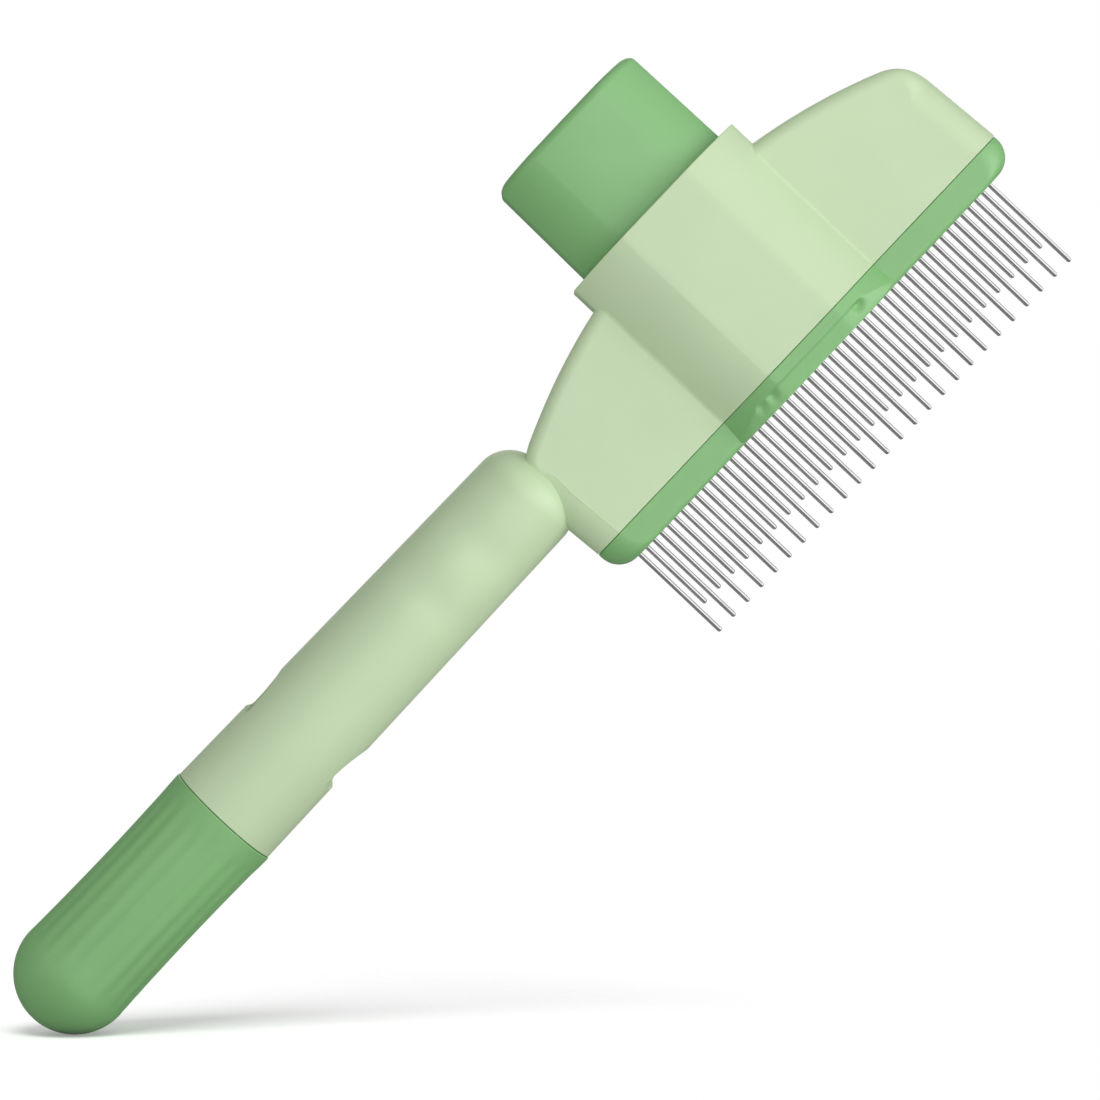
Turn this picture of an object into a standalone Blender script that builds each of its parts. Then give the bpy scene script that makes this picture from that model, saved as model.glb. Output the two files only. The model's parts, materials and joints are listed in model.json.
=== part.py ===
"""Push-button shedding comb for pets.

A round handle with a fluted end cap carries a flat comb head. One row of long and short wire teeth
stands in the head. A push button in the collar drives a stripper plate down the teeth and a coil
spring lifts it again.

All sizes below are in millimetres and become metres when a mesh is made. Shapes are drawn in the
tool's own centre frame: X runs along the handle towards the free end of the head, Z runs up the
slide axis from the teeth to the button, and Y runs from the front to the back. The centre frame
hangs in front of the origin, so that the origin is the middle of the flat face on the back of
the collar.
"""

import math

import bmesh
import bpy
from mathutils import Vector

MM = 0.001
GAP = 0.3  # clearance between pieces that rest on each other or fit into each other
SPLIT = GAP / 2  # each shell stays this far from the mid-plane
PAST = 1.0  # cutters and joined blanks end by different multiples of this past the faces they cross
FAR = 200.0  # beyond every surface
TURN = 2 * math.pi
RIGHT_ANGLE = math.pi / 2

# Handle and end cap, round about the X axis.
CAP_TIP_X = -155.9
SEAM_X = -113.1
CAP_RADIUS = 9.5
CAP_WAIST = 0.25  # the cap is this much thinner halfway between its round end and its rim
CAP_WALL = 1.8
FLUTES = 22
FLUTE_DEPTH = 0.16
FLUTE_FADE = 4.0  # length over which the flutes run out at either end
CAP_TIP_RADIUS = 0.8  # the small flat that closes the round end
HANDLE_RADIUS_AT_SEAM = 9.33
HANDLE_RADIUS_AT_DOME = 8.55
HANDLE_WALL = 1.9
DOME_X = -46.1
DOME_LENGTH = 6.2
HANDLE_HOLLOW_END_X = -49.0
HOLLOW_CHAMFER = 1.5
SPIGOT_RADIUS = 7.3
SPIGOT_WALL = 1.6
SPIGOT_END_X = -127.5
DIMPLES_X = (-66.9, -55.6)
DIMPLE_DEPTH = 0.35
DIMPLE_LENGTH = 3.4

# Lanyard hole: a D-shaped tunnel along Z, its flat side towards the cap, its rear wall leaning.
HOLE_FLAT_X = -99.1
HOLE_LENGTH = 8.6
HOLE_HALF_WIDTH = 4.1
HOLE_CORNER = 0.8
HOLE_REAR_SHARE = 0.85  # rear half-width at the middle, as a share of the front one
HOLE_REAR_LEAN = 0.017  # change of that share for each millimetre downwards
HOLE_WALL = 1.3

# Head: a flat slab with an arched shoulder, seen from the front in X and Z.
HEAD_BOTTOM = -14.3
HEAD_HALF_LENGTH = 44.3
HEAD_HALF_DEPTH = 6.0
HEAD_WALL = 1.8
SHOULDER_RADIUS = 96.0
SHOULDER_TOP = 13.45
CORNER_RADIUS = 7.9
CORNER_X = 35.6
CORNER_Z = -1.97
SIDE_DRAFT = math.radians(3.6)
END_ROUNDING = 5.0
TOP_ROUNDING = 2.0

# Collar and push button: flat-sided ovals standing on the slide axis.
COLLAR_HALF_WIDTH = 17.6
COLLAR_HALF_DEPTH = 12.0
COLLAR_TOP = 16.2
COLLAR_WALL = 2.25
OVAL_FLAT = 7.0  # half the width of the flat face of every oval
BUTTON_HALF_WIDTH = 14.95
BUTTON_HALF_DEPTH = 9.3
BUTTON_TAPER = 0.3
BUTTON_TOP = 35.3
BUTTON_BOTTOM = 7.0
BUTTON_WALL = 1.8
BUTTON_ROUNDING = 1.5

# Stripper plate, under the head.
PLATE_BOTTOM = -18.9
PLATE_CORNER = 3.9
PLATE_ROUNDING = 1.0
LEDGE_Z = -16.5  # underside of the ledge, and top of the pockets for the toes of the push frame
RECESS_FACE = 11.45  # depth just below the ledge; from there the face slopes inwards
RECESS_SLOPE = 0.55
BULGE_FLARE = 1.0  # the bulge grows by this much at each side towards its foot
TOE_HALF_WIDTH = 10.0

# Teeth, one row on the mid-plane.
LONG_TEETH = 26
FIRST_TOOTH_X = -39.83
TOOTH_PITCH = 1.566
TOOTH_RADIUS = 0.4
WIRE_SHARE = 0.98
TIP_END_ANGLE = math.radians(70)  # the round tip stops here, short of a point
TOOTH_HOLE_RADIUS = 0.62
TOOTH_SIDES = 8
LONG_TIP = -36.1
SHORT_TIP = -31.45

# Tooth bar, its cover and the carrier strips that the wires are welded to.
BAR_BOTTOM = -14.0
BAR_TOP = -8.6
BAR_HALF_LENGTH = 41.6
BAR_HALF_DEPTH = 3.8
BAR_END_LENGTH = 2.0
CHANNEL_FLOOR = -11.6
CHANNEL_HALF_DEPTH = 2.4
CHANNEL_END = 0.9  # the channel runs this far past the first and last tooth
CARRIER_THICKNESS = 0.8
CARRIER_NEAR, CARRIER_FAR = 0.9, 2.1
SHORT_CARRIER_Z = -11.3
LONG_CARRIER_Z = -10.0
COVER_BOTTOM = BAR_TOP + GAP
COVER_THICKNESS = 1.2
COVER_TOP = COVER_BOTTOM + COVER_THICKNESS
LUG_HALF_WIDTH = 3.4
LUG_HALF_DEPTH = 1.2

# Return spring and its guide pin, on the slide axis.
PIN_RADIUS = 1.0
PIN_HOLE_RADIUS = 1.35
PIN_TOP = 18.6
PIN_BOSS_RADIUS = 2.5
PIN_BOSS_TOP = -4.6
SPRING_RADIUS = 3.4
SPRING_WIRE = 0.4
SPRING_TURNS = 8
SPRING_DEAD_TURNS = 1
SPRING_DEAD_RISE = 2.3  # rise of a closed turn, in wire radii
SPRING_STEPS = 14
SPRING_SIDES = 6

# Push frame: an inverted U inside the button whose legs hold the stripper plate.
YOKE_BOTTOM = 15.9
YOKE_TOP = 17.9
YOKE_HALF_WIDTH = 8.0
LEG_OUTER = 7.2
LEG_THICKNESS = 1.6
LEG_SHOULDER_Z = (3.0, 5.5)
TOE_BOTTOM = -18.6
TOE_REACH = 9.0
TOE_INSET = 0.2  # the toes stand back this far from the legs' ends
SPRING_BOSS_HEIGHT = 1.5

# Self-tapping screws.
SHELL_SCREW_HEAD = (2.0, 1.4)  # radius, height
SHELL_SCREW_SHANK = 1.0
HEAD_SCREWS_X = (-28.0, 28.0)
HEAD_SCREW_Z = -1.0
HEAD_SCREW_FLOOR = 3.6
HANDLE_SCREWS_X = (-84.0, -58.0)
HANDLE_SCREW_FLOOR = 5.4
SHELL_SCREW_LENGTH = 7.9
BOSS_RADIUS = 3.3
COUNTERBORE_RADIUS = 2.4
SCREW_HOLE_RADIUS = 1.35
BUTTON_SCREWS_X = (-6.2, 6.2)
BUTTON_SCREW_HEAD = (1.5, 1.1)
BUTTON_SCREW_SHANK = 0.8
BUTTON_SCREW_LENGTH = 9.0
BUTTON_BOSS_RADIUS = 2.3
BUTTON_HOLE_RADIUS = 1.1

ROUND_SEGMENTS = 32
HOLE_SEGMENTS = 12


# ---------------------------------------------------------------- meshes

def mesh_object(name, vertices, faces):
    """A closed mesh from millimetre coordinates, with its faces pointing out."""
    mesh = bpy.data.meshes.new(name)
    mesh.from_pydata([Vector(vertex) * MM for vertex in vertices], [], faces)
    shape = bmesh.new()
    shape.from_mesh(mesh)
    bmesh.ops.recalc_face_normals(shape, faces=shape.faces)
    shape.to_mesh(mesh)
    shape.free()
    obj = bpy.data.objects.new(name, mesh)
    bpy.context.scene.collection.objects.link(obj)
    return obj


def loft(name, rings):
    """A solid through rings with equally many points, closed by a flat face at each end."""
    count = len(rings[0])
    vertices = [point for ring in rings for point in ring]
    faces = [tuple(range(count)), tuple(range(len(vertices) - count, len(vertices)))]
    for start in range(0, len(vertices) - count, count):
        for i in range(count):
            j = (i + 1) % count
            faces.append((start + i, start + j, start + count + j, start + count + i))
    return mesh_object(name, vertices, faces)


def steps(start, end, count):
    """Evenly spaced values from start to end, both included."""
    return [start + (end - start) * i / count for i in range(count + 1)]


def prism_z(name, outline, low, high):
    return loft(name, [[(x, y, z) for x, y in outline] for z in (low, high)])


def prism_y(name, outline, low, high):
    return loft(name, [[(x, y, z) for x, z in outline] for y in (low, high)])


def box(name, low, high):
    corners = [(low[0], low[1]), (high[0], low[1]), (high[0], high[1]), (low[0], high[1])]
    return prism_z(name, corners, low[2], high[2])


def circle(radius, segments, centre=(0.0, 0.0), phase=0.0):
    """Points around a circle; phase turns it by that share of one segment."""
    points = []
    for i in range(segments):
        angle = TURN * (i + phase) / segments
        points.append((centre[0] + radius * math.cos(angle), centre[1] + radius * math.sin(angle)))
    return points


def turned_x(name, profile, segments=ROUND_SEGMENTS):
    """A solid turned about X from (x, radius) pairs."""
    return loft(name, [[(x, y, z) for y, z in circle(radius, segments)] for x, radius in profile])


def oval(half_width, half_depth, segments=6, flat=OVAL_FLAT):
    """A flat-sided oval in X and Y: two flat faces joined by half ellipses."""
    reach = half_width - flat
    right = [
        (flat + reach * math.cos(angle), half_depth * math.sin(angle))
        for angle in steps(-RIGHT_ANGLE, RIGHT_ANGLE, 2 * segments)
    ]
    return right + [(-x, -y) for x, y in right]


def combine(target, tool, operation):
    """Boolean of two solids; the tool is used up."""
    modifier = target.modifiers.new(operation.lower(), "BOOLEAN")
    modifier.operation = operation
    modifier.solver = "EXACT"
    modifier.object = tool
    evaluated = target.evaluated_get(bpy.context.evaluated_depsgraph_get())
    result = bpy.data.meshes.new_from_object(evaluated)
    target.modifiers.clear()
    target.data = result
    bpy.data.objects.remove(tool)
    return target


def cut(target, *tools):
    for tool in tools:
        combine(target, tool, "DIFFERENCE")
    return target


def join(target, *tools):
    for tool in tools:
        combine(target, tool, "UNION")
    return target


# ---------------------------------------------------------------- outer shapes

def handle_radius(x):
    """The handle tapers evenly from the cap seam to the dome."""
    share = (x - SEAM_X) / (DOME_X - SEAM_X)
    return HANDLE_RADIUS_AT_SEAM + (HANDLE_RADIUS_AT_DOME - HANDLE_RADIUS_AT_SEAM) * share


def dimple(x, facing):
    """Depth of the finger dimples, which face the front only."""
    along = sum(math.exp(-(((x - centre) / DIMPLE_LENGTH) ** 2)) for centre in DIMPLES_X)
    return DIMPLE_DEPTH * along * max(0.0, facing) ** 2


def handle_solid():
    """Tapered round handle with its finger dimples, ending in a flattened dome inside the head."""
    straight = [SEAM_X + SPLIT] + steps(DIMPLES_X[0] - 2.2 * DIMPLE_LENGTH, DOME_X, 12)
    profile = [(x, handle_radius(x)) for x in straight]
    for angle in steps(0.0, math.radians(81), 5)[1:]:
        profile.append((DOME_X + DOME_LENGTH * math.sin(angle), HANDLE_RADIUS_AT_DOME * math.cos(angle)))
    rings = []
    for x, radius in profile:
        ring = []
        for y, z in circle(1.0, ROUND_SEGMENTS):
            reach = radius - dimple(x, -y) * radius / HANDLE_RADIUS_AT_DOME
            ring.append((x, reach * y, reach * z))
        rings.append(ring)
    return loft("handle", rings)


def rounding_at(angle, end_rounding, top_rounding):
    """Edge rounding of the head: full at its ends, fading to the smaller one along its shoulder."""
    top_angle = RIGHT_ANGLE - math.asin(shoulder_end())
    share = min(1.0, max(0.0, (angle - SIDE_DRAFT) / (top_angle - SIDE_DRAFT)))
    share = share * share * (3 - 2 * share)
    return end_rounding + (top_rounding - end_rounding) * share


def shoulder_end():
    """Sine of the shoulder arc's slope where it meets the corner arc."""
    return CORNER_X / (SHOULDER_RADIUS - CORNER_RADIUS)


def head_solid(name, inset, half_depth, end_rounding, top_rounding, low, arcs=4):
    """The head slab down to low: its outline moved inwards by inset, its front and back edges rounded."""
    slope = math.asin(shoulder_end())
    side_x = HEAD_HALF_LENGTH - (low - HEAD_BOTTOM) * math.tan(SIDE_DRAFT)
    stations = [(side_x, low, 0.0, SIDE_DRAFT)]
    for angle in steps(SIDE_DRAFT, RIGHT_ANGLE - slope, 5):
        stations.append((CORNER_X, CORNER_Z, CORNER_RADIUS, angle))
    for angle in steps(RIGHT_ANGLE - slope, RIGHT_ANGLE, 4)[1:]:
        stations.append((0.0, SHOULDER_TOP - SHOULDER_RADIUS, SHOULDER_RADIUS, angle))
    rings = []
    for side in (-1, 1):
        turns = steps(0.0, RIGHT_ANGLE, arcs)
        for turn in turns if side > 0 else reversed(turns):
            right = []
            for x, z, radius, angle in stations:
                rounding = rounding_at(angle, end_rounding, top_rounding)
                reach = radius - inset - rounding * (1 - math.cos(turn))
                depth = half_depth - rounding * (1 - math.sin(turn))
                right.append((x + reach * math.cos(angle), side * depth, z + reach * math.sin(angle)))
            left = [(-x, y, z) for x, y, z in reversed(right[:-1])]
            rings.append(right + left)
    return loft(name, rings)


def collar_solid(name, inset, low, top):
    outline = oval(COLLAR_HALF_WIDTH - inset, COLLAR_HALF_DEPTH - inset)
    return prism_z(name, outline, low, top)


def lanyard_tunnel(name, grow):
    """D-shaped tunnel; grow widens it by the thickness of its wall."""
    flat = HOLE_FLAT_X - grow
    reach = HOLE_LENGTH + 2 * grow - HOLE_CORNER
    half = HOLE_HALF_WIDTH + grow
    outline = [(flat, HOLE_CORNER - half)]
    for angle in steps(-RIGHT_ANGLE, RIGHT_ANGLE, 9):
        outline.append((flat + HOLE_CORNER + reach * math.cos(angle), half * math.sin(angle)))
    outline.append((flat, half - HOLE_CORNER))
    rings = []
    for z in (-2 * CAP_RADIUS, 2 * CAP_RADIUS):
        rear = (HOLE_REAR_SHARE - HOLE_REAR_LEAN * z) * HOLE_HALF_WIDTH + grow
        rings.append([(x, y * rear / half if y > 0 else y, z) for x, y in outline])
    return loft(name, rings)


def below_head(name, top):
    """Everything under the level top, for trimming the open lower end of the head."""
    reach = 2 * HEAD_HALF_LENGTH
    return box(name, (-reach, -reach, 2 * PLATE_BOTTOM), (reach, reach, top))


# ---------------------------------------------------------------- housing

def screw_sites():
    """(x, z, floor, root) of each shell screw: floor of its counterbore, end of its boss in the wall."""
    head_root = HEAD_HALF_DEPTH - HEAD_WALL / 2
    sites = [(x, HEAD_SCREW_Z, HEAD_SCREW_FLOOR, head_root) for x in HEAD_SCREWS_X]
    for x in HANDLE_SCREWS_X:
        sites.append((x, 0.0, HANDLE_SCREW_FLOOR, handle_radius(x) - HANDLE_WALL / 2))
    return sites


def rod_y(name, radius, start, end, centre, segments=HOLE_SEGMENTS):
    """Round rod along Y, turned by half a segment so that its edges miss the handle's own edges."""
    return prism_y(name, circle(radius, segments, centre, 0.5), start, end)


def spigot(name, radius, start, end):
    return turned_x(name, [(start, radius), (end, radius)])


def outer_form():
    """Handle, spigot, head and collar as one solid."""
    form = handle_solid()
    join(form, spigot("spigot", SPIGOT_RADIUS, SPIGOT_END_X, SEAM_X + 2.5 * PAST))
    join(form, head_solid("head", 0.0, HEAD_HALF_DEPTH, END_ROUNDING, TOP_ROUNDING, HEAD_BOTTOM - 2 * PAST))
    return join(form, collar_solid("collar", 0.0, HEAD_BOTTOM - PAST, COLLAR_TOP))


def handle_hollow():
    """Space inside the handle, less the walls of the lanyard tunnel and the bosses of its screws."""
    start = SEAM_X + 3 * PAST
    radius = handle_radius(HANDLE_HOLLOW_END_X) - HANDLE_WALL
    hollow = turned_x("handle_hollow", [
        (start, handle_radius(start) - HANDLE_WALL),
        (HANDLE_HOLLOW_END_X - HOLLOW_CHAMFER, radius),
        (HANDLE_HOLLOW_END_X, radius - HOLLOW_CHAMFER),
    ])
    bore = SPIGOT_RADIUS - SPIGOT_WALL
    join(hollow, spigot("spigot_hollow", bore, SPIGOT_END_X - 2 * PAST, start + PAST))
    cut(hollow, lanyard_tunnel("tunnel_wall", HOLE_WALL))
    for x, z, _, root in screw_sites()[len(HEAD_SCREWS_X):]:
        cut(hollow, rod_y("handle_boss", BOSS_RADIUS, -root, root, (x, z), 16))
    return hollow


def head_hollow():
    """Space inside the head and the collar, less the paired bosses of the head screws."""
    hollow = head_solid("head_hollow", HEAD_WALL, HEAD_HALF_DEPTH - HEAD_WALL,
                        END_ROUNDING - HEAD_WALL, TOP_ROUNDING / 2, HEAD_BOTTOM - 4 * PAST, arcs=3)
    join(hollow, collar_solid("collar_bore", COLLAR_WALL, HEAD_BOTTOM - 5 * PAST, COLLAR_TOP + PAST))
    face = LUG_HALF_DEPTH + GAP
    for x, z, _, root in screw_sites()[:len(HEAD_SCREWS_X)]:
        for low, high in ((-root, -face), (face, root)):
            cut(hollow, rod_y("head_boss", BOSS_RADIUS, low, high, (x, z), 16))
    return hollow


def shell(name, side):
    """One half of the housing, hollowed and drilled; side is -1 in front and 1 at the back."""
    half = outer_form()
    half.name = name
    low, high = (-SPLIT, FAR) if side < 0 else (-FAR, SPLIT)
    cut(half, box("half_space", (-FAR, low, -FAR), (FAR, high, FAR)))
    cut(half, handle_hollow(), head_hollow())
    cut(half, lanyard_tunnel("tunnel", 0.0), below_head("trim", HEAD_BOTTOM + SPLIT))
    for x, z, floor, _ in screw_sites():
        if side > 0:
            cut(half, rod_y("clearance", SCREW_HOLE_RADIUS, -PAST, floor + PAST, (x, z)))
            cut(half, rod_y("counterbore", COUNTERBORE_RADIUS, floor, 2 * CAP_RADIUS, (x, z), 16))
        else:
            cut(half, rod_y("pilot", SCREW_HOLE_RADIUS, floor - SHELL_SCREW_LENGTH, PAST, (x, z)))
    return half


def end_cap():
    """Fluted cap with a round end, a push fit on the spigot that both shells form."""
    segments = 2 * FLUTES
    rim_x = SEAM_X - SPLIT
    round_x = CAP_TIP_X + CAP_RADIUS
    fluted = steps(rim_x - FLUTE_FADE, round_x + FLUTE_FADE, 4)
    body = [(x, CAP_RADIUS - CAP_WAIST * math.sin(math.pi * (rim_x - x) / (rim_x - round_x)), FLUTE_DEPTH)
            for x in fluted]
    body = [(rim_x, CAP_RADIUS, 0.0), (rim_x - FLUTE_FADE / 2, CAP_RADIUS, 0.0)] + body
    body.append((round_x, CAP_RADIUS, 0.0))
    for angle in steps(0.0, math.radians(80), 6)[1:]:
        body.append((round_x - CAP_RADIUS * math.sin(angle), CAP_RADIUS * math.cos(angle), 0.0))
    body.append((CAP_TIP_X, CAP_TIP_RADIUS, 0.0))
    rings = []
    for x, radius, depth in body:
        ring = []
        for i, (y, z) in enumerate(circle(1.0, segments)):
            reach = radius - (depth if i % 2 else 0.0)
            ring.append((x, reach * y, reach * z))
        rings.append(ring)
    cap = loft("end_cap", rings)
    bore = SPIGOT_RADIUS + GAP
    hollow_end = CAP_TIP_X + CAP_WALL
    hollow = [(SEAM_X + PAST, bore), (round_x, bore)]
    for angle in steps(0.0, math.radians(75), 4)[1:]:
        hollow.append((round_x - (round_x - hollow_end) * math.sin(angle), bore * math.cos(angle)))
    return cut(cap, turned_x("cap_hollow", hollow))


# ---------------------------------------------------------------- teeth

def tooth_positions(parity):
    """X of the long teeth (parity 0) or of the short ones between them (parity 1)."""
    return [FIRST_TOOTH_X + TOOTH_PITCH * i for i in range(parity, 2 * LONG_TEETH - 1, 2)]


def tooth_holes(name, low, high):
    """Cutters for all the teeth: one octagonal rod for each, in one mesh."""
    vertices, faces = [], []
    for x in tooth_positions(0) + tooth_positions(1):
        ring = circle(TOOTH_HOLE_RADIUS, TOOTH_SIDES, (x, 0.0))
        start = len(vertices)
        vertices += [(px, py, low) for px, py in ring] + [(px, py, high) for px, py in ring]
        bottom = range(start, start + TOOTH_SIDES)
        top = range(start + TOOTH_SIDES, start + 2 * TOOTH_SIDES)
        faces += [tuple(bottom), tuple(top)]
        for i in range(TOOTH_SIDES):
            j = (i + 1) % TOOTH_SIDES
            faces.append((bottom[i], bottom[j], top[j], top[i]))
    return mesh_object(name, vertices, faces)


def carrier_outline(positions, side):
    """Comb-shaped strip in X and Y: a spine beside the row with a tab to each tooth."""
    near, far, tab = side * CARRIER_NEAR, side * CARRIER_FAR, -side * TOOTH_RADIUS
    half = TOOTH_RADIUS
    outline = [(positions[0] - half, far)]
    for x in positions:
        outline += [(x - half, near), (x - half, tab), (x + half, tab), (x + half, near)]
    outline.append((positions[-1] + half, far))
    return outline


def teeth(name, parity, tip, carrier_z, side):
    """A set of round-tipped wires, each welded by its root to a tab of one carrier strip."""
    positions = tooth_positions(parity)
    carrier = prism_z(name, carrier_outline(positions, side), carrier_z, carrier_z + CARRIER_THICKNESS)
    root = carrier_z + CARRIER_THICKNESS / 2
    # The wires are drawn slightly thinner than the tabs, so that no faces coincide.
    wire = WIRE_SHARE * TOOTH_RADIUS
    profile = [(root, wire)]
    for angle in steps(0.0, TIP_END_ANGLE, 2):
        height = 1 - math.sin(angle) / math.sin(TIP_END_ANGLE)
        profile.append((tip + wire * height, wire * math.cos(angle)))
    vertices, faces = [], []
    for x in positions:
        start = len(vertices)
        for z, radius in profile:
            vertices += [(px, py, z) for px, py in circle(radius, TOOTH_SIDES, (x, 0.0))]
        for level in range(len(profile) - 1):
            first = start + level * TOOTH_SIDES
            for i in range(TOOTH_SIDES):
                j = (i + 1) % TOOTH_SIDES
                faces.append((first + i, first + j, first + TOOTH_SIDES + j, first + TOOTH_SIDES + i))
        faces.append(tuple(range(start, start + TOOTH_SIDES)))
        faces.append(tuple(range(len(vertices) - TOOTH_SIDES, len(vertices))))
    return join(carrier, mesh_object("wires", vertices, faces))


def bar_outline(half_length, half_depth):
    return oval(half_length, half_depth, 3, half_length - BAR_END_LENGTH)


def tooth_bar():
    """Moulded bar that holds both carrier strips in a channel; the teeth stand out of its floor."""
    bar = prism_z("tooth_bar", bar_outline(BAR_HALF_LENGTH, BAR_HALF_DEPTH), BAR_BOTTOM, BAR_TOP)
    first, last = tooth_positions(0)[0] - CHANNEL_END, tooth_positions(0)[-1] + CHANNEL_END
    low, high = (first, -CHANNEL_HALF_DEPTH, CHANNEL_FLOOR), (last, CHANNEL_HALF_DEPTH, BAR_TOP + PAST)
    channel = box("channel", low, high)
    return cut(bar, channel, tooth_holes("holes", BAR_BOTTOM - PAST, CHANNEL_FLOOR + PAST))


def bar_cover():
    """Strip over the channel, with a lug for each head screw and the boss of the guide pin."""
    cover = prism_z("bar_cover", bar_outline(BAR_HALF_LENGTH, BAR_HALF_DEPTH), COVER_BOTTOM, COVER_TOP)
    foot = COVER_BOTTOM + COVER_THICKNESS / 2
    for x in HEAD_SCREWS_X:
        outline = [(x - LUG_HALF_WIDTH, foot), (x + LUG_HALF_WIDTH, foot)]
        outline += circle(LUG_HALF_WIDTH, 16, (x, HEAD_SCREW_Z))[:9]
        join(cover, prism_y("lug", outline, -LUG_HALF_DEPTH, LUG_HALF_DEPTH))
        reach = LUG_HALF_DEPTH + PAST
        cut(cover, rod_y("lug_hole", SCREW_HOLE_RADIUS, -reach, reach, (x, HEAD_SCREW_Z)))
    join(cover, prism_z("pin_boss", circle(PIN_BOSS_RADIUS, 16), foot, PIN_BOSS_TOP))
    bore = circle(PIN_RADIUS + GAP, HOLE_SEGMENTS)
    return cut(cover, prism_z("pin_bore", bore, COVER_BOTTOM - PAST, PIN_BOSS_TOP + PAST))


# ---------------------------------------------------------------- ejector

def push_button():
    """Oval cup, open below, with a boss for each screw of the push frame."""
    bend_z = BUTTON_TOP - BUTTON_ROUNDING
    rings = [(BUTTON_BOTTOM, 0.0, 0.0), (COLLAR_TOP, 0.0, 0.0), (bend_z, BUTTON_TAPER, 0.0)]
    for angle in steps(0.0, RIGHT_ANGLE, 3)[1:]:
        inset = BUTTON_ROUNDING * (1 - math.cos(angle))
        rings.append((bend_z + BUTTON_ROUNDING * math.sin(angle), BUTTON_TAPER, inset))
    button = loft("push_button", [
        [(x, y, z) for x, y in oval(BUTTON_HALF_WIDTH - taper - inset, BUTTON_HALF_DEPTH - inset)]
        for z, taper, inset in rings
    ])
    inside = oval(BUTTON_HALF_WIDTH - BUTTON_TAPER - BUTTON_WALL, BUTTON_HALF_DEPTH - BUTTON_WALL)
    cut(button, prism_z("button_hollow", inside, BUTTON_BOTTOM - PAST, BUTTON_TOP - BUTTON_WALL))
    for x in BUTTON_SCREWS_X:
        boss = circle(BUTTON_BOSS_RADIUS, HOLE_SEGMENTS, (x, 0.0))
        join(button, prism_z("button_boss", boss, YOKE_TOP + GAP, BUTTON_TOP - BUTTON_WALL / 2))
        pilot = circle(BUTTON_HOLE_RADIUS, HOLE_SEGMENTS, (x, 0.0))
        cut(button, prism_z("button_pilot", pilot, YOKE_TOP, YOKE_TOP + BUTTON_SCREW_LENGTH))
    return button


def push_frame():
    """Inverted U: the yoke takes the spring, and each leg ends in a toe in the plate's pocket."""
    narrow, wide = YOKE_HALF_WIDTH, TOE_HALF_WIDTH
    low, high = LEG_SHOULDER_Z
    outline = [(-wide, TOE_BOTTOM), (wide, TOE_BOTTOM), (wide, low), (narrow, high), (narrow, YOKE_TOP),
               (-narrow, YOKE_TOP), (-narrow, high), (-wide, low)]
    frame = prism_y("push_frame", outline, -LEG_OUTER, LEG_OUTER)
    inner = LEG_OUTER - LEG_THICKNESS
    cut(frame, box("between_legs", (-2 * wide, -inner, TOE_BOTTOM - PAST), (2 * wide, inner, YOKE_BOTTOM)))
    toe_top = LEDGE_Z - GAP
    for side in (-1, 1):
        low_y, high_y = sorted((side * (LEG_OUTER - LEG_THICKNESS / 2), side * TOE_REACH))
        low, high = (TOE_INSET - wide, low_y, TOE_BOTTOM + TOE_INSET), (wide - TOE_INSET, high_y, toe_top)
        join(frame, box("toe", low, high))
    boss = circle(PIN_BOSS_RADIUS, 16)
    boss_low, boss_high = YOKE_BOTTOM - SPRING_BOSS_HEIGHT, (YOKE_BOTTOM + YOKE_TOP) / 2
    join(frame, prism_z("spring_boss", boss, boss_low, boss_high))
    hole = circle(PIN_HOLE_RADIUS, HOLE_SEGMENTS)
    cut(frame, prism_z("pin_hole", hole, YOKE_BOTTOM - 2 * SPRING_BOSS_HEIGHT, YOKE_TOP + PAST))
    for x in BUTTON_SCREWS_X:
        hole = circle(BUTTON_HOLE_RADIUS, HOLE_SEGMENTS, (x, 0.0))
        cut(frame, prism_z("frame_screw_hole", hole, YOKE_BOTTOM - PAST, YOKE_TOP + PAST))
    return frame


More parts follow.
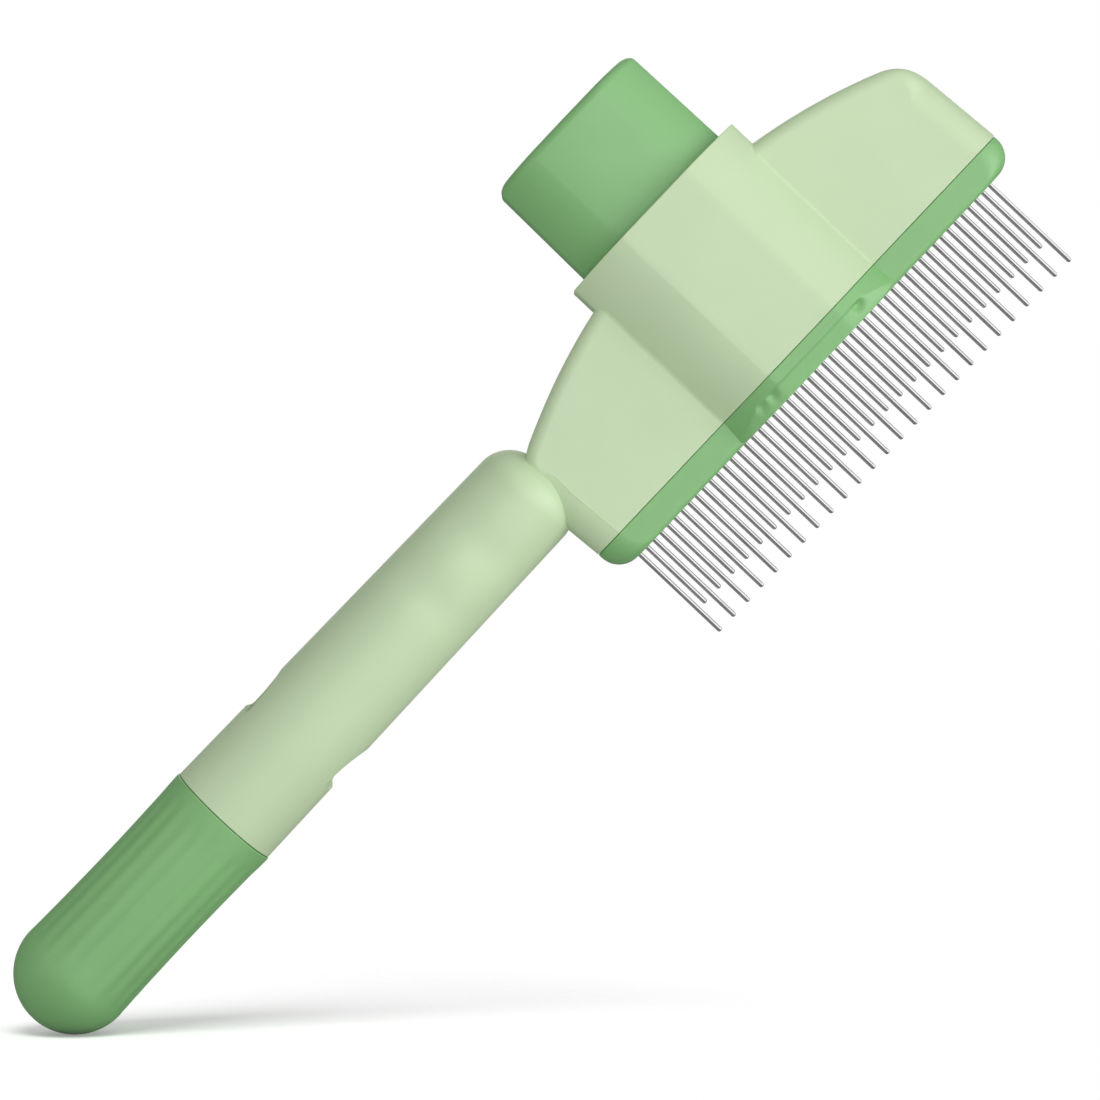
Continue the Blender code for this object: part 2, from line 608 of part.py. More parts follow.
def stripper_plate():
    """Plate that closes the head from below, slotted for the push frame and drilled for the teeth."""
    top = HEAD_BOTTOM - SPLIT
    bend_z = PLATE_BOTTOM + PLATE_CORNER
    levels = [(top, 0.0, 0.0)]
    for angle in steps(0.0, RIGHT_ANGLE, 4):
        z = bend_z - PLATE_CORNER * math.sin(angle)
        share = max(0.0, (PLATE_BOTTOM + PLATE_ROUNDING - z) / PLATE_ROUNDING)
        edge_inset = PLATE_ROUNDING * (1 - math.sqrt(1 - share * share))
        levels.append((z, PLATE_CORNER * (1 - math.cos(angle)), edge_inset))
    rings = []
    for z, end_inset, inset in levels:
        outline = oval(HEAD_HALF_LENGTH - end_inset, HEAD_HALF_DEPTH - inset, 4,
                       HEAD_HALF_LENGTH - END_ROUNDING - end_inset)
        rings.append([(x, y, z) for x, y in outline])
    plate = loft("stripper_plate", rings)

    rings = [(top, 0.0)]
    for angle in steps(0.0, RIGHT_ANGLE, 2):
        inset = PLATE_ROUNDING * (1 - math.cos(angle))
        rings.append((PLATE_BOTTOM + PLATE_ROUNDING * (1 - math.sin(angle)), inset))
    bulge = []
    for z, inset in rings:
        half_width = COLLAR_HALF_WIDTH + BULGE_FLARE * (top - z) / (top - PLATE_BOTTOM) - inset
        bulge.append([(x, y, z) for x, y in oval(half_width, COLLAR_HALF_DEPTH - inset)])
    join(plate, loft("bulge", bulge))

    slot_x = TOE_HALF_WIDTH + GAP
    low_z = PLATE_BOTTOM - PAST
    slot_in, slot_out = LEG_OUTER - LEG_THICKNESS - GAP, LEG_OUTER + GAP
    for side in (-1, 1):
        low_y, high_y = sorted((side * slot_in, side * slot_out))
        slot = box("slot", (-slot_x, low_y, low_z), (slot_x, high_y, top + PAST))
        low_y, high_y = sorted((side * slot_in, side * (TOE_REACH + GAP)))
        join(slot, box("pocket", (-slot_x, low_y, low_z), (slot_x, high_y, LEDGE_Z)))
        far_x, far_y = COLLAR_HALF_WIDTH + 2 * PAST, side * (COLLAR_HALF_DEPTH + PAST)
        foot_y = side * (RECESS_FACE - RECESS_SLOPE * (LEDGE_Z - low_z))
        section = [(side * RECESS_FACE, LEDGE_Z), (far_y, LEDGE_Z), (far_y, low_z), (foot_y, low_z)]
        recess = loft("recess", [[(x, y, z) for y, z in section] for x in (-far_x, far_x)])
        cut(plate, slot, recess)
    return cut(plate, tooth_holes("holes", PLATE_BOTTOM - PAST, top + PAST))


def return_spring():
    """Coil spring with one closed turn at each end, standing between the cover and the yoke."""
    low, high = COVER_TOP + GAP + SPRING_WIRE, YOKE_BOTTOM - GAP - SPRING_WIRE
    dead_rise = SPRING_DEAD_RISE * SPRING_WIRE
    active = SPRING_TURNS - 2 * SPRING_DEAD_TURNS
    pitch = (high - low - 2 * dead_rise) / active
    rings = []
    for i in range(SPRING_TURNS * SPRING_STEPS + 1):
        turn = i / SPRING_STEPS
        z = low + dead_rise * min(turn, SPRING_DEAD_TURNS)
        z += pitch * min(max(turn - SPRING_DEAD_TURNS, 0.0), active)
        z += dead_rise * max(turn - SPRING_TURNS + SPRING_DEAD_TURNS, 0.0)
        ring = []
        for out, up in circle(SPRING_WIRE, SPRING_SIDES):
            reach = SPRING_RADIUS + out
            ring.append((reach * math.cos(TURN * turn), reach * math.sin(TURN * turn), z + up))
        rings.append(ring)
    return loft("return_spring", rings)


def guide_pin():
    return prism_z("guide_pin", circle(PIN_RADIUS, HOLE_SEGMENTS), COVER_BOTTOM + GAP, PIN_TOP)


# ---------------------------------------------------------------- screws

def screw_mesh(name, head, shank_radius, length):
    """Pan-head screw along -Z from its seat at the origin, with a cross recess in its head."""
    head_radius, head_height = head
    rings = [(-length, 0.35 * shank_radius), (-length + shank_radius, shank_radius), (0.0, shank_radius),
             (0.0, head_radius), (0.55 * head_height, head_radius), (head_height, 0.7 * head_radius)]
    screw = loft(name, [[(x, y, z) for x, y in circle(radius, HOLE_SEGMENTS)] for z, radius in rings])
    arm, half, floor = 0.55 * head_radius, 0.14 * head_radius, 0.5 * head_height
    top = head_height + PAST
    recess = box("recess", (-arm, -half, floor), (arm, half, top))
    cut(screw, join(recess, box("recess_arm", (-half, -arm, floor), (half, arm, top))))
    mesh = screw.data
    bpy.data.objects.remove(screw)
    return mesh


def place_screw(name, mesh, seat, rotation):
    screw = bpy.data.objects.new(name, mesh)
    bpy.context.scene.collection.objects.link(screw)
    screw.location = Vector(seat) * MM
    screw.rotation_euler = rotation
    return screw


def shell_screws():
    """Four screws from the back into the front shell."""
    mesh = screw_mesh("shell_screw", SHELL_SCREW_HEAD, SHELL_SCREW_SHANK, SHELL_SCREW_LENGTH - 2 * GAP)
    places = ("head_left", "head_right", "handle_end", "handle_neck")
    screws = []
    for (x, z, floor, _), place in zip(screw_sites(), places):
        seat = (x, floor + GAP, z)
        screws.append(place_screw("shell_screw_" + place, mesh, seat, (-RIGHT_ANGLE, 0.0, 0.0)))
    return screws


def button_screws():
    """Two screws from below through the yoke into the button's bosses."""
    mesh = screw_mesh("button_screw", BUTTON_SCREW_HEAD, BUTTON_SCREW_SHANK, BUTTON_SCREW_LENGTH)
    return [
        place_screw("button_screw_" + side, mesh, (x, 0.0, YOKE_BOTTOM - GAP), (math.pi, 0.0, 0.0))
        for x, side in zip(BUTTON_SCREWS_X, ("left", "right"))
    ]


# ---------------------------------------------------------------- materials and assembly

def material(name, colour, roughness, metallic=0.0):
    finish = bpy.data.materials.new(name)
    finish.use_nodes = True
    shader = finish.node_tree.nodes["Principled BSDF"]
    shader.inputs["Base Color"].default_value = (*colour, 1.0)
    shader.inputs["Roughness"].default_value = roughness
    shader.inputs["Metallic"].default_value = metallic
    return finish


def finish_piece(obj, surface, parent):
    obj.data.materials.clear()
    obj.data.materials.append(surface)
    obj.data.shade_smooth()
    obj.data.set_sharp_from_angle(angle=math.radians(35))
    obj.parent = parent


def empty(name, parent=None, location=(0.0, 0.0, 0.0)):
    frame = bpy.data.objects.new(name, None)
    bpy.context.scene.collection.objects.link(frame)
    frame.parent = parent
    frame.location = Vector(location) * MM
    return frame


def build():
    for obj in list(bpy.data.objects):
        bpy.data.objects.remove(obj)

    centre = empty("centre_frame", None, (0.0, -COLLAR_HALF_DEPTH, 0.0))
    housing_frame = empty("housing_frame", centre)
    ejector_frame = empty("ejector_frame", centre)

    pale_green = material("pale_green_plastic", (0.55, 0.69, 0.45), 0.42)
    leaf_green = material("leaf_green_plastic", (0.28, 0.52, 0.25), 0.4)
    steel = material("stainless_wire", (0.72, 0.72, 0.74), 0.22, 1.0)
    spring_steel = material("spring_steel", (0.55, 0.56, 0.58), 0.3, 1.0)
    screw_steel = material("zinc_plated_steel", (0.62, 0.63, 0.66), 0.35, 1.0)
    white_plastic = material("white_plastic", (0.8, 0.8, 0.77), 0.5)

    for name, side in (("front_shell", -1), ("rear_shell", 1)):
        finish_piece(shell(name, side), pale_green, housing_frame)
    finish_piece(end_cap(), leaf_green, housing_frame)
    finish_piece(teeth("long_teeth", 0, LONG_TIP, LONG_CARRIER_Z, -1), steel, housing_frame)
    finish_piece(teeth("short_teeth", 1, SHORT_TIP, SHORT_CARRIER_Z, 1), steel, housing_frame)
    finish_piece(tooth_bar(), white_plastic, housing_frame)
    finish_piece(bar_cover(), white_plastic, housing_frame)
    finish_piece(guide_pin(), spring_steel, housing_frame)
    finish_piece(return_spring(), spring_steel, housing_frame)
    for screw in shell_screws():
        finish_piece(screw, screw_steel, housing_frame)

    finish_piece(push_button(), leaf_green, ejector_frame)
    finish_piece(push_frame(), leaf_green, ejector_frame)
    finish_piece(stripper_plate(), leaf_green, ejector_frame)
    for screw in button_screws():
        finish_piece(screw, screw_steel, ejector_frame)


build()
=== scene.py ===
"""Looks of the push-button shedding comb: finer meshes, finishes, floor, light and camera.

Sizes are in millimetres in the comb's own centre frame, as drawn: X along the handle towards the
head, Z from the teeth up to the button, Y from front to back with 0 on the mid-plane. mesh_object
turns them into metres and moves them onto the mid-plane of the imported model.
"""
import json
import math

import bmesh
import bpy
from mathutils import Matrix, Vector

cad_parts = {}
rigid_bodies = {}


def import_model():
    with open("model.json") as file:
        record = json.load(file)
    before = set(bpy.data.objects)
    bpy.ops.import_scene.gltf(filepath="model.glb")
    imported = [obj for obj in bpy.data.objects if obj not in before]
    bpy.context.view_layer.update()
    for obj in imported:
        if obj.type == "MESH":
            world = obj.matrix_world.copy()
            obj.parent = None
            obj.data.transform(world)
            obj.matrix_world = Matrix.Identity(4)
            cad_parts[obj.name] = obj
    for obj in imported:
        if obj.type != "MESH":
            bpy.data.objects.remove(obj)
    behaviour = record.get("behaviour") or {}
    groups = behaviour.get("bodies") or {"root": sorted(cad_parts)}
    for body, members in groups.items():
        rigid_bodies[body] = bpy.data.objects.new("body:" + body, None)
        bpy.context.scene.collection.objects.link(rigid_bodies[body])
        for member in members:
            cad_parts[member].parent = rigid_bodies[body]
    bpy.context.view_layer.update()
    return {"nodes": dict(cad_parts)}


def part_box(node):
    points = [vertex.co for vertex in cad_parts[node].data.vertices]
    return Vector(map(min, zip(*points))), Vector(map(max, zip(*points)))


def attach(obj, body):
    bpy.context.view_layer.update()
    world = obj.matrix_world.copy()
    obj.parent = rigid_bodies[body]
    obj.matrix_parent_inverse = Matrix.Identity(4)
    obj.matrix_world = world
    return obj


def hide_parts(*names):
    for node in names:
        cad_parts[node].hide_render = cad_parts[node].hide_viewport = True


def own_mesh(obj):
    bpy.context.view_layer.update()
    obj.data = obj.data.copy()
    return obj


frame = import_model()

MM = 0.001
TURN = 2 * math.pi
RIGHT_ANGLE = math.pi / 2


def box_mm(node):
    """Low and high corner of a CAD node's box."""
    low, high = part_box(node)
    return Vector(low) / MM, Vector(high) / MM


# ---------------- sizes taken from the frame

CAD_GAP = 0.3  # between neighbouring pieces of the CAD model
cap_low, cap_high = box_mm("end_cap")
plate_low, plate_high = box_mm("stripper_plate")
button_low, button_high = box_mm("push_button")
long_low, long_high = box_mm("long_teeth")
bar_low, bar_high = box_mm("tooth_bar")
spring_low, spring_high = box_mm("return_spring")

MID_Y = (cap_low.y + cap_high.y) / 2
CAP_TIP_X = cap_low.x
SEAM_X = cap_high.x + CAD_GAP / 2
CAP_RADIUS = (cap_high.z - cap_low.z) / 2
HEAD_BOTTOM = plate_high.z + CAD_GAP / 2
HEAD_HALF_LENGTH = plate_high.x
COLLAR_HALF_DEPTH = (plate_high.y - plate_low.y) / 2
COLLAR_TOP = box_mm("front_shell")[1].z
BUTTON_HALF_WIDTH = button_high.x
BUTTON_HALF_DEPTH = (button_high.y - button_low.y) / 2
BUTTON_BOTTOM, BUTTON_TOP = button_low.z, button_high.z
PLATE_BOTTOM = plate_low.z
LONG_TIP, SHORT_TIP = long_low.z, box_mm("short_teeth")[0].z
LONG_TEETH = 26
TOOTH_RADIUS = 0.4
FIRST_TOOTH_X = long_low.x + TOOTH_RADIUS
TOOTH_PITCH = (long_high.x - long_low.x - 2 * TOOTH_RADIUS) / (2 * LONG_TEETH - 2)

# ---------------- shapes the frame's boxes don't give

OVERSHOOT = 1.0  # how far a cutting or joining solid runs past the face it works on
SPLIT = 0.05  # half of the gap along the mid-plane and the cap seam
PLATE_SPLIT = 0.025  # half of the gap between head and plate
PLATE_EDGE = 0.15  # chamfer round the plate's top
EDGE = 0.12  # chamfer along the cap seam
HANDLE_RADIUS_AT_SEAM, HANDLE_RADIUS_AT_DOME = 9.33, 8.55
HANDLE_WALL = 1.9
HANDLE_STATIONS = [-108.0, -98.0, -88.0, -80.0]  # wide apart along the plain part of the handle
DIMPLED_START = -77.0  # and close together from here to the dome
DOME_X, DOME_LENGTH, DOME_FULLNESS = -46.1, 6.2, 0.82
DOME_END = math.radians(86)
SPIGOT_RADIUS, SPIGOT_WALL, SPIGOT_LENGTH, SPIGOT_ROOT = 7.3, 1.6, 14.4, 2.5
DIMPLES_X = (-66.9, -55.6)
DIMPLE_DEPTH, DIMPLE_LENGTH = 0.35, 3.4
HOLLOW_START, HOLLOW_END_X = 3.0, -49.0  # the first is the distance from the cap seam
HOLLOW_FLARE, HOLLOW_END_CHAMFER = 1.5, (2.0, 1.5)

HOLE_FLAT_X, HOLE_LENGTH, HOLE_HALF_WIDTH, HOLE_WALL = -99.1, 8.6, 4.1, 1.3
HOLE_CORNER = 0.8
HOLE_REAR_SHARE = 0.85  # width of the rear part of the hole, as a share of the front part's
HOLE_REAR_LEAN = 0.017  # loss of that share per mm of height
HOLE_REAR_SHIFT = 1.3  # the rear of the flat wall stands this much nearer to the head

HEAD_HALF_DEPTH, HEAD_WALL = 6.0, 1.8
STATION_GAP = 0.5  # between the head's straight stations and what comes before and after them
SHOULDER_RADIUS, SHOULDER_TOP = 96.0, 13.45
CORNER_RADIUS, CORNER_X, CORNER_Z = 7.9, 35.6, -1.97
SIDE_DRAFT = math.radians(3.6)
END_ROUNDING, TOP_ROUNDING = 5.0, 2.0
END_CREASE = math.radians(8)  # kink where the face meets the left end
LEFT_LEAN, LEFT_LEAN_END = 0.13, (8.0, 22.0)  # the left end leans out to the handle, then back
CORNER_TURN = math.radians(48)  # the kink and the wide rounding end here on the corner arc
GROOVE_WIDTH, GROOVE_DEPTH = 0.18, 0.1

OVAL_FLAT = 7.0  # half-width of the flat faces of collar, button and bulge
SIDE_START, SIDE_END, SIDE_CORNER = math.radians(12), math.radians(52), 2.0
COLLAR_HALF_WIDTH, COLLAR_WALL, COLLAR_FILLET = 17.6, 2.25, 1.0
FILLET_FADE, FILLET_FADE_TURN = 0.9, math.radians(62)  # share lost over this turn of the edge
FILLET_BURY, FILLET_CORE = 0.015, 0.5  # how deep its ends and its back lie in collar and head
RIM_EDGE = 0.12
BUTTON_TAPER, BUTTON_ROUNDING, BUTTON_WALL, BUTTON_CROWN = 0.3, 1.5, 1.8, 0.45
BUTTON_END_REACH = 1.6  # the top's rounding is wider at the ends by this factor

PLATE_CORNER, PLATE_ROUNDING = 3.9, 1.0
BULGE_FLARE = 1.0  # the bulge grows by this much at each side towards its foot
LEDGE_Z, RECESS_DEPTH, RECESS_SLOPE = -16.4, 0.42, 0.5
LEDGE_MARGIN = 0.6  # the bulge's closely spaced rings start this much above the ledge
LEDGE_ONSET = (-0.3, 0.1)  # distances below the ledge between which the recess sets in
RECESS_HALF_WIDTH = 11.3
RECESS_SIDE = 3.0  # the step at the ledge fades over this width, within the half-width
RECESS_RUN_OUT = 0.3  # beyond the half-width the ledge runs down at this slope
RECESS_END = (13.0, 17.5)  # half-widths between which the recess fades out
SNAPS = ((10.1, 1.6, 1.0), (-8.7, 1.3, 0.5), (-11.0, 1.3, 0.5))  # centre, half-width, depth
SNAP_DROP = 2.0  # each snap dimple fades over this height
TOE_HALF_WIDTH, TOE_REACH, POCKET_TOP = 10.0, 9.0, -16.5
LEG_OUTER, LEG_THICKNESS = 7.2, 1.6
SLOT_PLAY = 0.15  # round the push frame's legs and toes
POCKET_STEP = (0.05, 0.1)  # keeps the pockets' walls off the slots' walls, in X and Y
TOOTH_HOLE_RADIUS = 0.55
TOOTH_ROOT_Z = -10.5
TIP_POLE = math.radians(80)  # where the round tips are cut flat
BAR_HOLE_RADIUS, BAR_HOLE_DEPTH = 0.5, 2.0
BAR_END, BAR_CHAMFER = 2.0, 0.25

SHELL_SCREWS = {  # x, z and the depth of the counterbore's floor behind the mid-plane
    "shell_screw_head_left": (-28.0, -1.0, 3.6),
    "shell_screw_head_right": (28.0, -1.0, 3.6),
    "shell_screw_handle_end": (-84.0, 0.0, 5.4),
    "shell_screw_handle_neck": (-58.0, 0.0, 5.4),
}
COUNTERBORE_RADIUS, SCREW_HOLE_RADIUS, PILOT_DEPTH = 2.4, 1.35, 7.9
BOSS_RADIUS, BOSS_HALF_GAP, BOSS_ROOT = 3.3, 1.5, 0.7  # the last is a share of the handle's wall


# ---------------- mesh helpers

def link(obj):
    bpy.context.scene.collection.objects.link(obj)
    return obj


def mesh_object(name, vertices, faces):
    """A closed mesh in metres on the comb's mid-plane, its faces pointing out."""
    mesh = bpy.data.meshes.new(name)
    mesh.from_pydata([(x * MM, (y + MID_Y) * MM, z * MM) for x, y, z in vertices], [], faces)
    shape = bmesh.new()
    shape.from_mesh(mesh)
    bmesh.ops.recalc_face_normals(shape, faces=shape.faces)
    shape.to_mesh(mesh)
    shape.free()
    return link(bpy.data.objects.new(name, mesh))


def loft_data(rings, start=0):
    """Vertices and faces of a solid through rings with equally many points."""
    count = len(rings[0])
    vertices = [point for ring in rings for point in ring]
    end = start + len(vertices)
    faces = [tuple(range(start, start + count)), tuple(range(end - count, end))]
    for first in range(start, end - count, count):
        for i in range(count):
            j = (i + 1) % count
            faces.append((first + i, first + j, first + count + j, first + count + i))
    return vertices, faces


def loft(name, rings):
    return mesh_object(name, *loft_data(rings))


def lofts(name, ring_sets):
    """Several separate solids in one mesh."""
    vertices, faces = [], []
    for rings in ring_sets:
        more_vertices, more_faces = loft_data(rings, len(vertices))
        vertices += more_vertices
        faces += more_faces
    return mesh_object(name, vertices, faces)


def steps(start, end, count):
    return [start + (end - start) * i / count for i in range(count + 1)]


def smooth_share(value, low, high):
    """0 below low, 1 above high, with a soft change between."""
    share = min(1.0, max(0.0, (value - low) / (high - low)))
    return share * share * (3 - 2 * share)


def prism_rings_z(outline, low, high):
    return [[(x, y, z) for x, y in outline] for z in (low, high)]


def box_rings(low, high):
    corners = [(low[0], low[1]), (high[0], low[1]), (high[0], high[1]), (low[0], high[1])]
    return prism_rings_z(corners, low[2], high[2])


def circle(radius, segments, centre=(0.0, 0.0), phase=0.0):
    angles = [TURN * (i + phase) / segments for i in range(segments)]
    return [(centre[0] + radius * math.cos(a), centre[1] + radius * math.sin(a)) for a in angles]


def turned_x_rings(profile, segments=96):
    return [[(x, y, z) for y, z in circle(radius, segments)] for x, radius in profile]


def turned_z_rings(profile, centre, segments):
    return [[(x, y, z) for x, y in circle(radius, segments, centre)] for z, radius in profile]


def rod_y_rings(radius, low, high, centre, segments=32):
    return [[(x, y, z) for x, z in circle(radius, segments, centre, 0.5)] for y in (low, high)]


def oval(half_width, half_depth, segments=24, flat=OVAL_FLAT):
    """Two flat faces joined by half ellipses."""
    reach = half_width - flat
    right = [(flat + reach * math.cos(angle), half_depth * math.sin(angle))
             for angle in steps(-RIGHT_ANGLE, RIGHT_ANGLE, 2 * segments)]
    return right + [(-x, -y) for x, y in right]


def side_rate(half_width):
    """Width gained for each radian of turn on the slowly turning side of an oval."""
    reach = half_width - OVAL_FLAT - SIDE_CORNER * (1 - math.sin(SIDE_END))
    return reach / (SIDE_END - SIDE_START)


def side_place(rate, depth, angle):
    """Point of that side where it has turned to angle; depth is where it starts."""
    drop = rate * math.log(math.cos(SIDE_START) / math.cos(angle))
    return OVAL_FLAT + rate * (angle - SIDE_START), depth - drop


def creased_oval(half_width, half_depth, crown=0.0, side_steps=24):
    """Flat or crowned faces with a crease at each end, slowly turning sides and tight corners."""
    rate = side_rate(half_width)
    quarter = [(x, half_depth - crown * (x / OVAL_FLAT) ** 2)
               for x in steps(0.0, OVAL_FLAT, 8)[1:-1]]
    quarter += [side_place(rate, half_depth - crown, angle)
                for angle in steps(SIDE_START, SIDE_END, side_steps)]
    last_x, last_y = quarter[-1]
    for angle in steps(SIDE_END, RIGHT_ANGLE, 6)[1:]:
        quarter.append((last_x + SIDE_CORNER * (math.sin(angle) - math.sin(SIDE_END)),
                        last_y - SIDE_CORNER * (math.cos(SIDE_END) - math.cos(angle))))
    right = [(x, -y) for x, y in quarter] + quarter[::-1]
    return right + [(-x, -y) for x, y in right]


def combine(target, tool, operation):
    """Boolean of target with tool, which is used up."""
    modifier = target.modifiers.new(operation.lower(), "BOOLEAN")
    modifier.operation = operation
    modifier.solver = "EXACT"
    modifier.object = tool
    evaluated = target.evaluated_get(bpy.context.evaluated_depsgraph_get())
    result = bpy.data.meshes.new_from_object(evaluated)
    target.modifiers.clear()
    target.data = result
    bpy.data.objects.remove(tool)
    return target


def cut(target, *tools):
    for tool in tools:
        combine(target, tool, "DIFFERENCE")
    return target


def join(target, *tools):
    for tool in tools:
        combine(target, tool, "UNION")
    return target


# ---------------- finishes

class Nodes:
    """Short calls for building a node tree."""

    def __init__(self, tree):
        self.tree = tree

    def add(self, kind, **values):
        node = self.tree.nodes.new(kind)
        for key, value in values.items():
            if key in node.inputs:
                node.inputs[key].default_value = value
            else:
                setattr(node, key, value)
        return node

    def wire(self, source, target):
        self.tree.links.new(source, target)

    def feed(self, value, target):
        """Wires another node's output to an input, or sets the input to a plain value."""
        if isinstance(value, bpy.types.NodeSocket):
            self.wire(value, target)
        else:
            target.default_value = value

    def ramp(self, source, low, high, start, end, **values):
        """Maps source from low..high onto start..end, held at both ends."""
        node = self.add("ShaderNodeMapRange", **values)
        for key, value in (("From Min", low), ("From Max", high), ("To Min", start),
                           ("To Max", end), ("Value", source)):
            self.feed(value, node.inputs[key])
        return node.outputs["Result"]

    def math(self, operation, first, second):
        node = self.add("ShaderNodeMath", operation=operation)
        self.feed(first, node.inputs[0])
        self.feed(second, node.inputs[1])
        return node.outputs[0]


class Finish(Nodes):
    """A material's node tree with its principled shader."""

    def __init__(self, name):
        self.material = bpy.data.materials.new(name)
        self.material.use_nodes = True
        super().__init__(self.material.node_tree)
        self.shader = self.tree.nodes["Principled BSDF"]
        self.place = self.add("ShaderNodeTexCoord").outputs["Object"]

    def shade(self, **values):
        """Feeds the shader's inputs; an underscore stands for a space in their names."""
        for key, value in values.items():
            self.feed(value, self.shader.inputs[key.replace("_", " ")])

    def noise(self, scale, detail=2.0, stretch=(1.0, 1.0, 1.0)):
        mapping = self.add("ShaderNodeMapping")
        mapping.inputs["Scale"].default_value = stretch
        self.wire(self.place, mapping.inputs["Vector"])
        node = self.add("ShaderNodeTexNoise", Scale=scale, Detail=detail)
        self.wire(mapping.outputs["Vector"], node.inputs["Vector"])
        return node.outputs["Fac"]

    def mix(self, factor, first, second):
        """Blends two colours; each is a colour or another node's output."""
        node = self.add("ShaderNodeMix", data_type="RGBA")
        self.wire(factor, node.inputs["Factor"])
        for socket, value in ((node.inputs[6], first), (node.inputs[7], second)):
            if isinstance(value, tuple):
                socket.default_value = (*value, 1.0)
            else:
                self.wire(value, socket)
        return node.outputs[2]

    def bump(self, layers):
        """Stacks (height, distance in metres) layers of bump into the shader's normal."""
        last = None
        for height, distance in layers:
            node = self.add("ShaderNodeBump", Distance=distance, Strength=1.0)
            self.wire(height, node.inputs["Height"])
            if last is not None:
                self.wire(last, node.inputs["Normal"])
            last = node.outputs["Normal"]
        self.wire(last, self.shader.inputs["Normal"])


def tint(colour, factor):
    """A lighter or darker shade of a colour."""
    return tuple(min(1.0, channel * factor) for channel in colour)


WHITE = (1.0, 1.0, 1.0)
ALONG_Z = (1.0, 1.0, 0.05)  # stretch that draws noise out into lines
EVEN = (1.0, 1.0, 1.0)
FLOW_SCALE, FLOW_TINTS = 38.0, (0.975, 1.02)  # noise scales are in features per metre
WEAR_RADIUS = 0.0004  # in metres
WEAR_FACING, WEAR_SHARE = (0.8, 0.98), 0.4  # cosines between which wear fades, and its most
SCUFF_SCALE, RUBBED_TINT = 420.0, 1.12
# painted shade: concave corners and creases are darkened towards this tint over this pointiness
# range
CREASE_SHADE_POINTINESS, CREASE_SHADE_SHARE, CREASE_SHADE_TINT = (0.38, 0.45), 0.35, 0.72
HANDLED_SCALE, HANDLED_RANGE = 90.0, 0.05
PLASTIC_IOR, PLASTIC_SPECULAR = 1.52, 0.9
PLASTIC_RELIEF = ((60.0, 2.0, 0.00012), (5200.0, 1.0, 0.000008))  # scale, detail, height in m
TARNISH_SCALE, TARNISH_TINT = 260.0, 0.84
DRAWN_SCALE, DRAWN_HEIGHT = 3000.0, 0.0000006


def moulded_plastic(name, colour, roughness):
    """Spark-eroded satin plastic: fine grain, faint flow marks, rubbed edges and painted shade
    darkening its concave corners.
    """
    nodes = Finish(name)
    flow = nodes.ramp(nodes.noise(FLOW_SCALE, 3.0), 0.35, 0.65, 0.0, 1.0)
    body = nodes.mix(flow, *(tint(colour, factor) for factor in FLOW_TINTS))
    geometry = nodes.add("ShaderNodeNewGeometry")
    softened = nodes.add("ShaderNodeBevel", Radius=WEAR_RADIUS)
    facing = nodes.add("ShaderNodeVectorMath", operation="DOT_PRODUCT")
    nodes.wire(softened.outputs["Normal"], facing.inputs[0])
    nodes.wire(geometry.outputs["Normal"], facing.inputs[1])
    edges = nodes.ramp(facing.outputs["Value"], *WEAR_FACING, WEAR_SHARE, 0.0)
    scuff = nodes.ramp(nodes.noise(SCUFF_SCALE, 4.0), 0.4, 0.6, 0.2, 1.0)
    rubbed = nodes.mix(nodes.math("MULTIPLY", edges, scuff), body, tint(colour, RUBBED_TINT))
    # painted shade: concave spots, found by their pointiness, are darkened
    crease_shade = nodes.ramp(geometry.outputs["Pointiness"], *CREASE_SHADE_POINTINESS, CREASE_SHADE_SHARE, 0.0)
    handled = nodes.ramp(nodes.noise(HANDLED_SCALE), 0.3, 0.7,
                         roughness - HANDLED_RANGE, roughness + HANDLED_RANGE)
    nodes.shade(Base_Color=nodes.mix(crease_shade, rubbed, tint(colour, CREASE_SHADE_TINT)), Roughness=handled,
                IOR=PLASTIC_IOR, Specular_IOR_Level=PLASTIC_SPECULAR)
    nodes.bump([(nodes.noise(scale, detail), height) for scale, detail, height in PLASTIC_RELIEF])
    return nodes.material


def metal(name, colour, roughness, stretch=EVEN):
    """Bright metal with fine drawn lines, along one direction if stretched, and faint tarnish."""
    nodes = Finish(name)
    tarnish = nodes.ramp(nodes.noise(TARNISH_SCALE, 3.0), 0.35, 0.7, 0.0, 1.0)
    lines = nodes.noise(DRAWN_SCALE, 1.0, stretch)
    nodes.shade(Base_Color=nodes.mix(tarnish, colour, tint(colour, TARNISH_TINT)), Metallic=1.0,
                Roughness=nodes.ramp(lines, 0.3, 0.7, roughness - 0.04, roughness + 0.06))
    nodes.bump([(lines, DRAWN_HEIGHT)])
    return nodes.material


pale_green = moulded_plastic("pale_green_plastic", (0.550, 0.700, 0.435), 0.52)
leaf_green = moulded_plastic("leaf_green_plastic", (0.203, 0.475, 0.165), 0.5)
white_plastic = moulded_plastic("white_plastic", (0.78, 0.78, 0.74), 0.5)
tooth_steel = metal("tooth_steel", (0.86, 0.86, 0.87), 0.16, ALONG_Z)
spring_steel = metal("spring_steel", (0.56, 0.57, 0.59), 0.3)
screw_steel = metal("screw_steel", (0.66, 0.67, 0.70), 0.32)


def finish_piece(piece, surface, body, slot, *nodes, sharp=30.0, weighted=False):
    """Gives a piece its finish and shading and puts it on its body in place of CAD nodes."""
    piece.data.materials.clear()
    piece.data.materials.append(surface)
    piece.data.shade_smooth()
    piece.data.set_sharp_from_angle(angle=math.radians(sharp))
    if weighted:
        normals = piece.modifiers.new("weighted_normals", "WEIGHTED_NORMAL")
        normals.keep_sharp = True
    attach(piece, body)
    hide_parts(*nodes)
    return piece


# ---------------- housing: outer shape

def handle_radius(x):
    """The handle tapers evenly from the cap seam to the dome."""
    share = (x - SEAM_X) / (DOME_X - SEAM_X)
    return HANDLE_RADIUS_AT_SEAM + (HANDLE_RADIUS_AT_DOME - HANDLE_RADIUS_AT_SEAM) * share


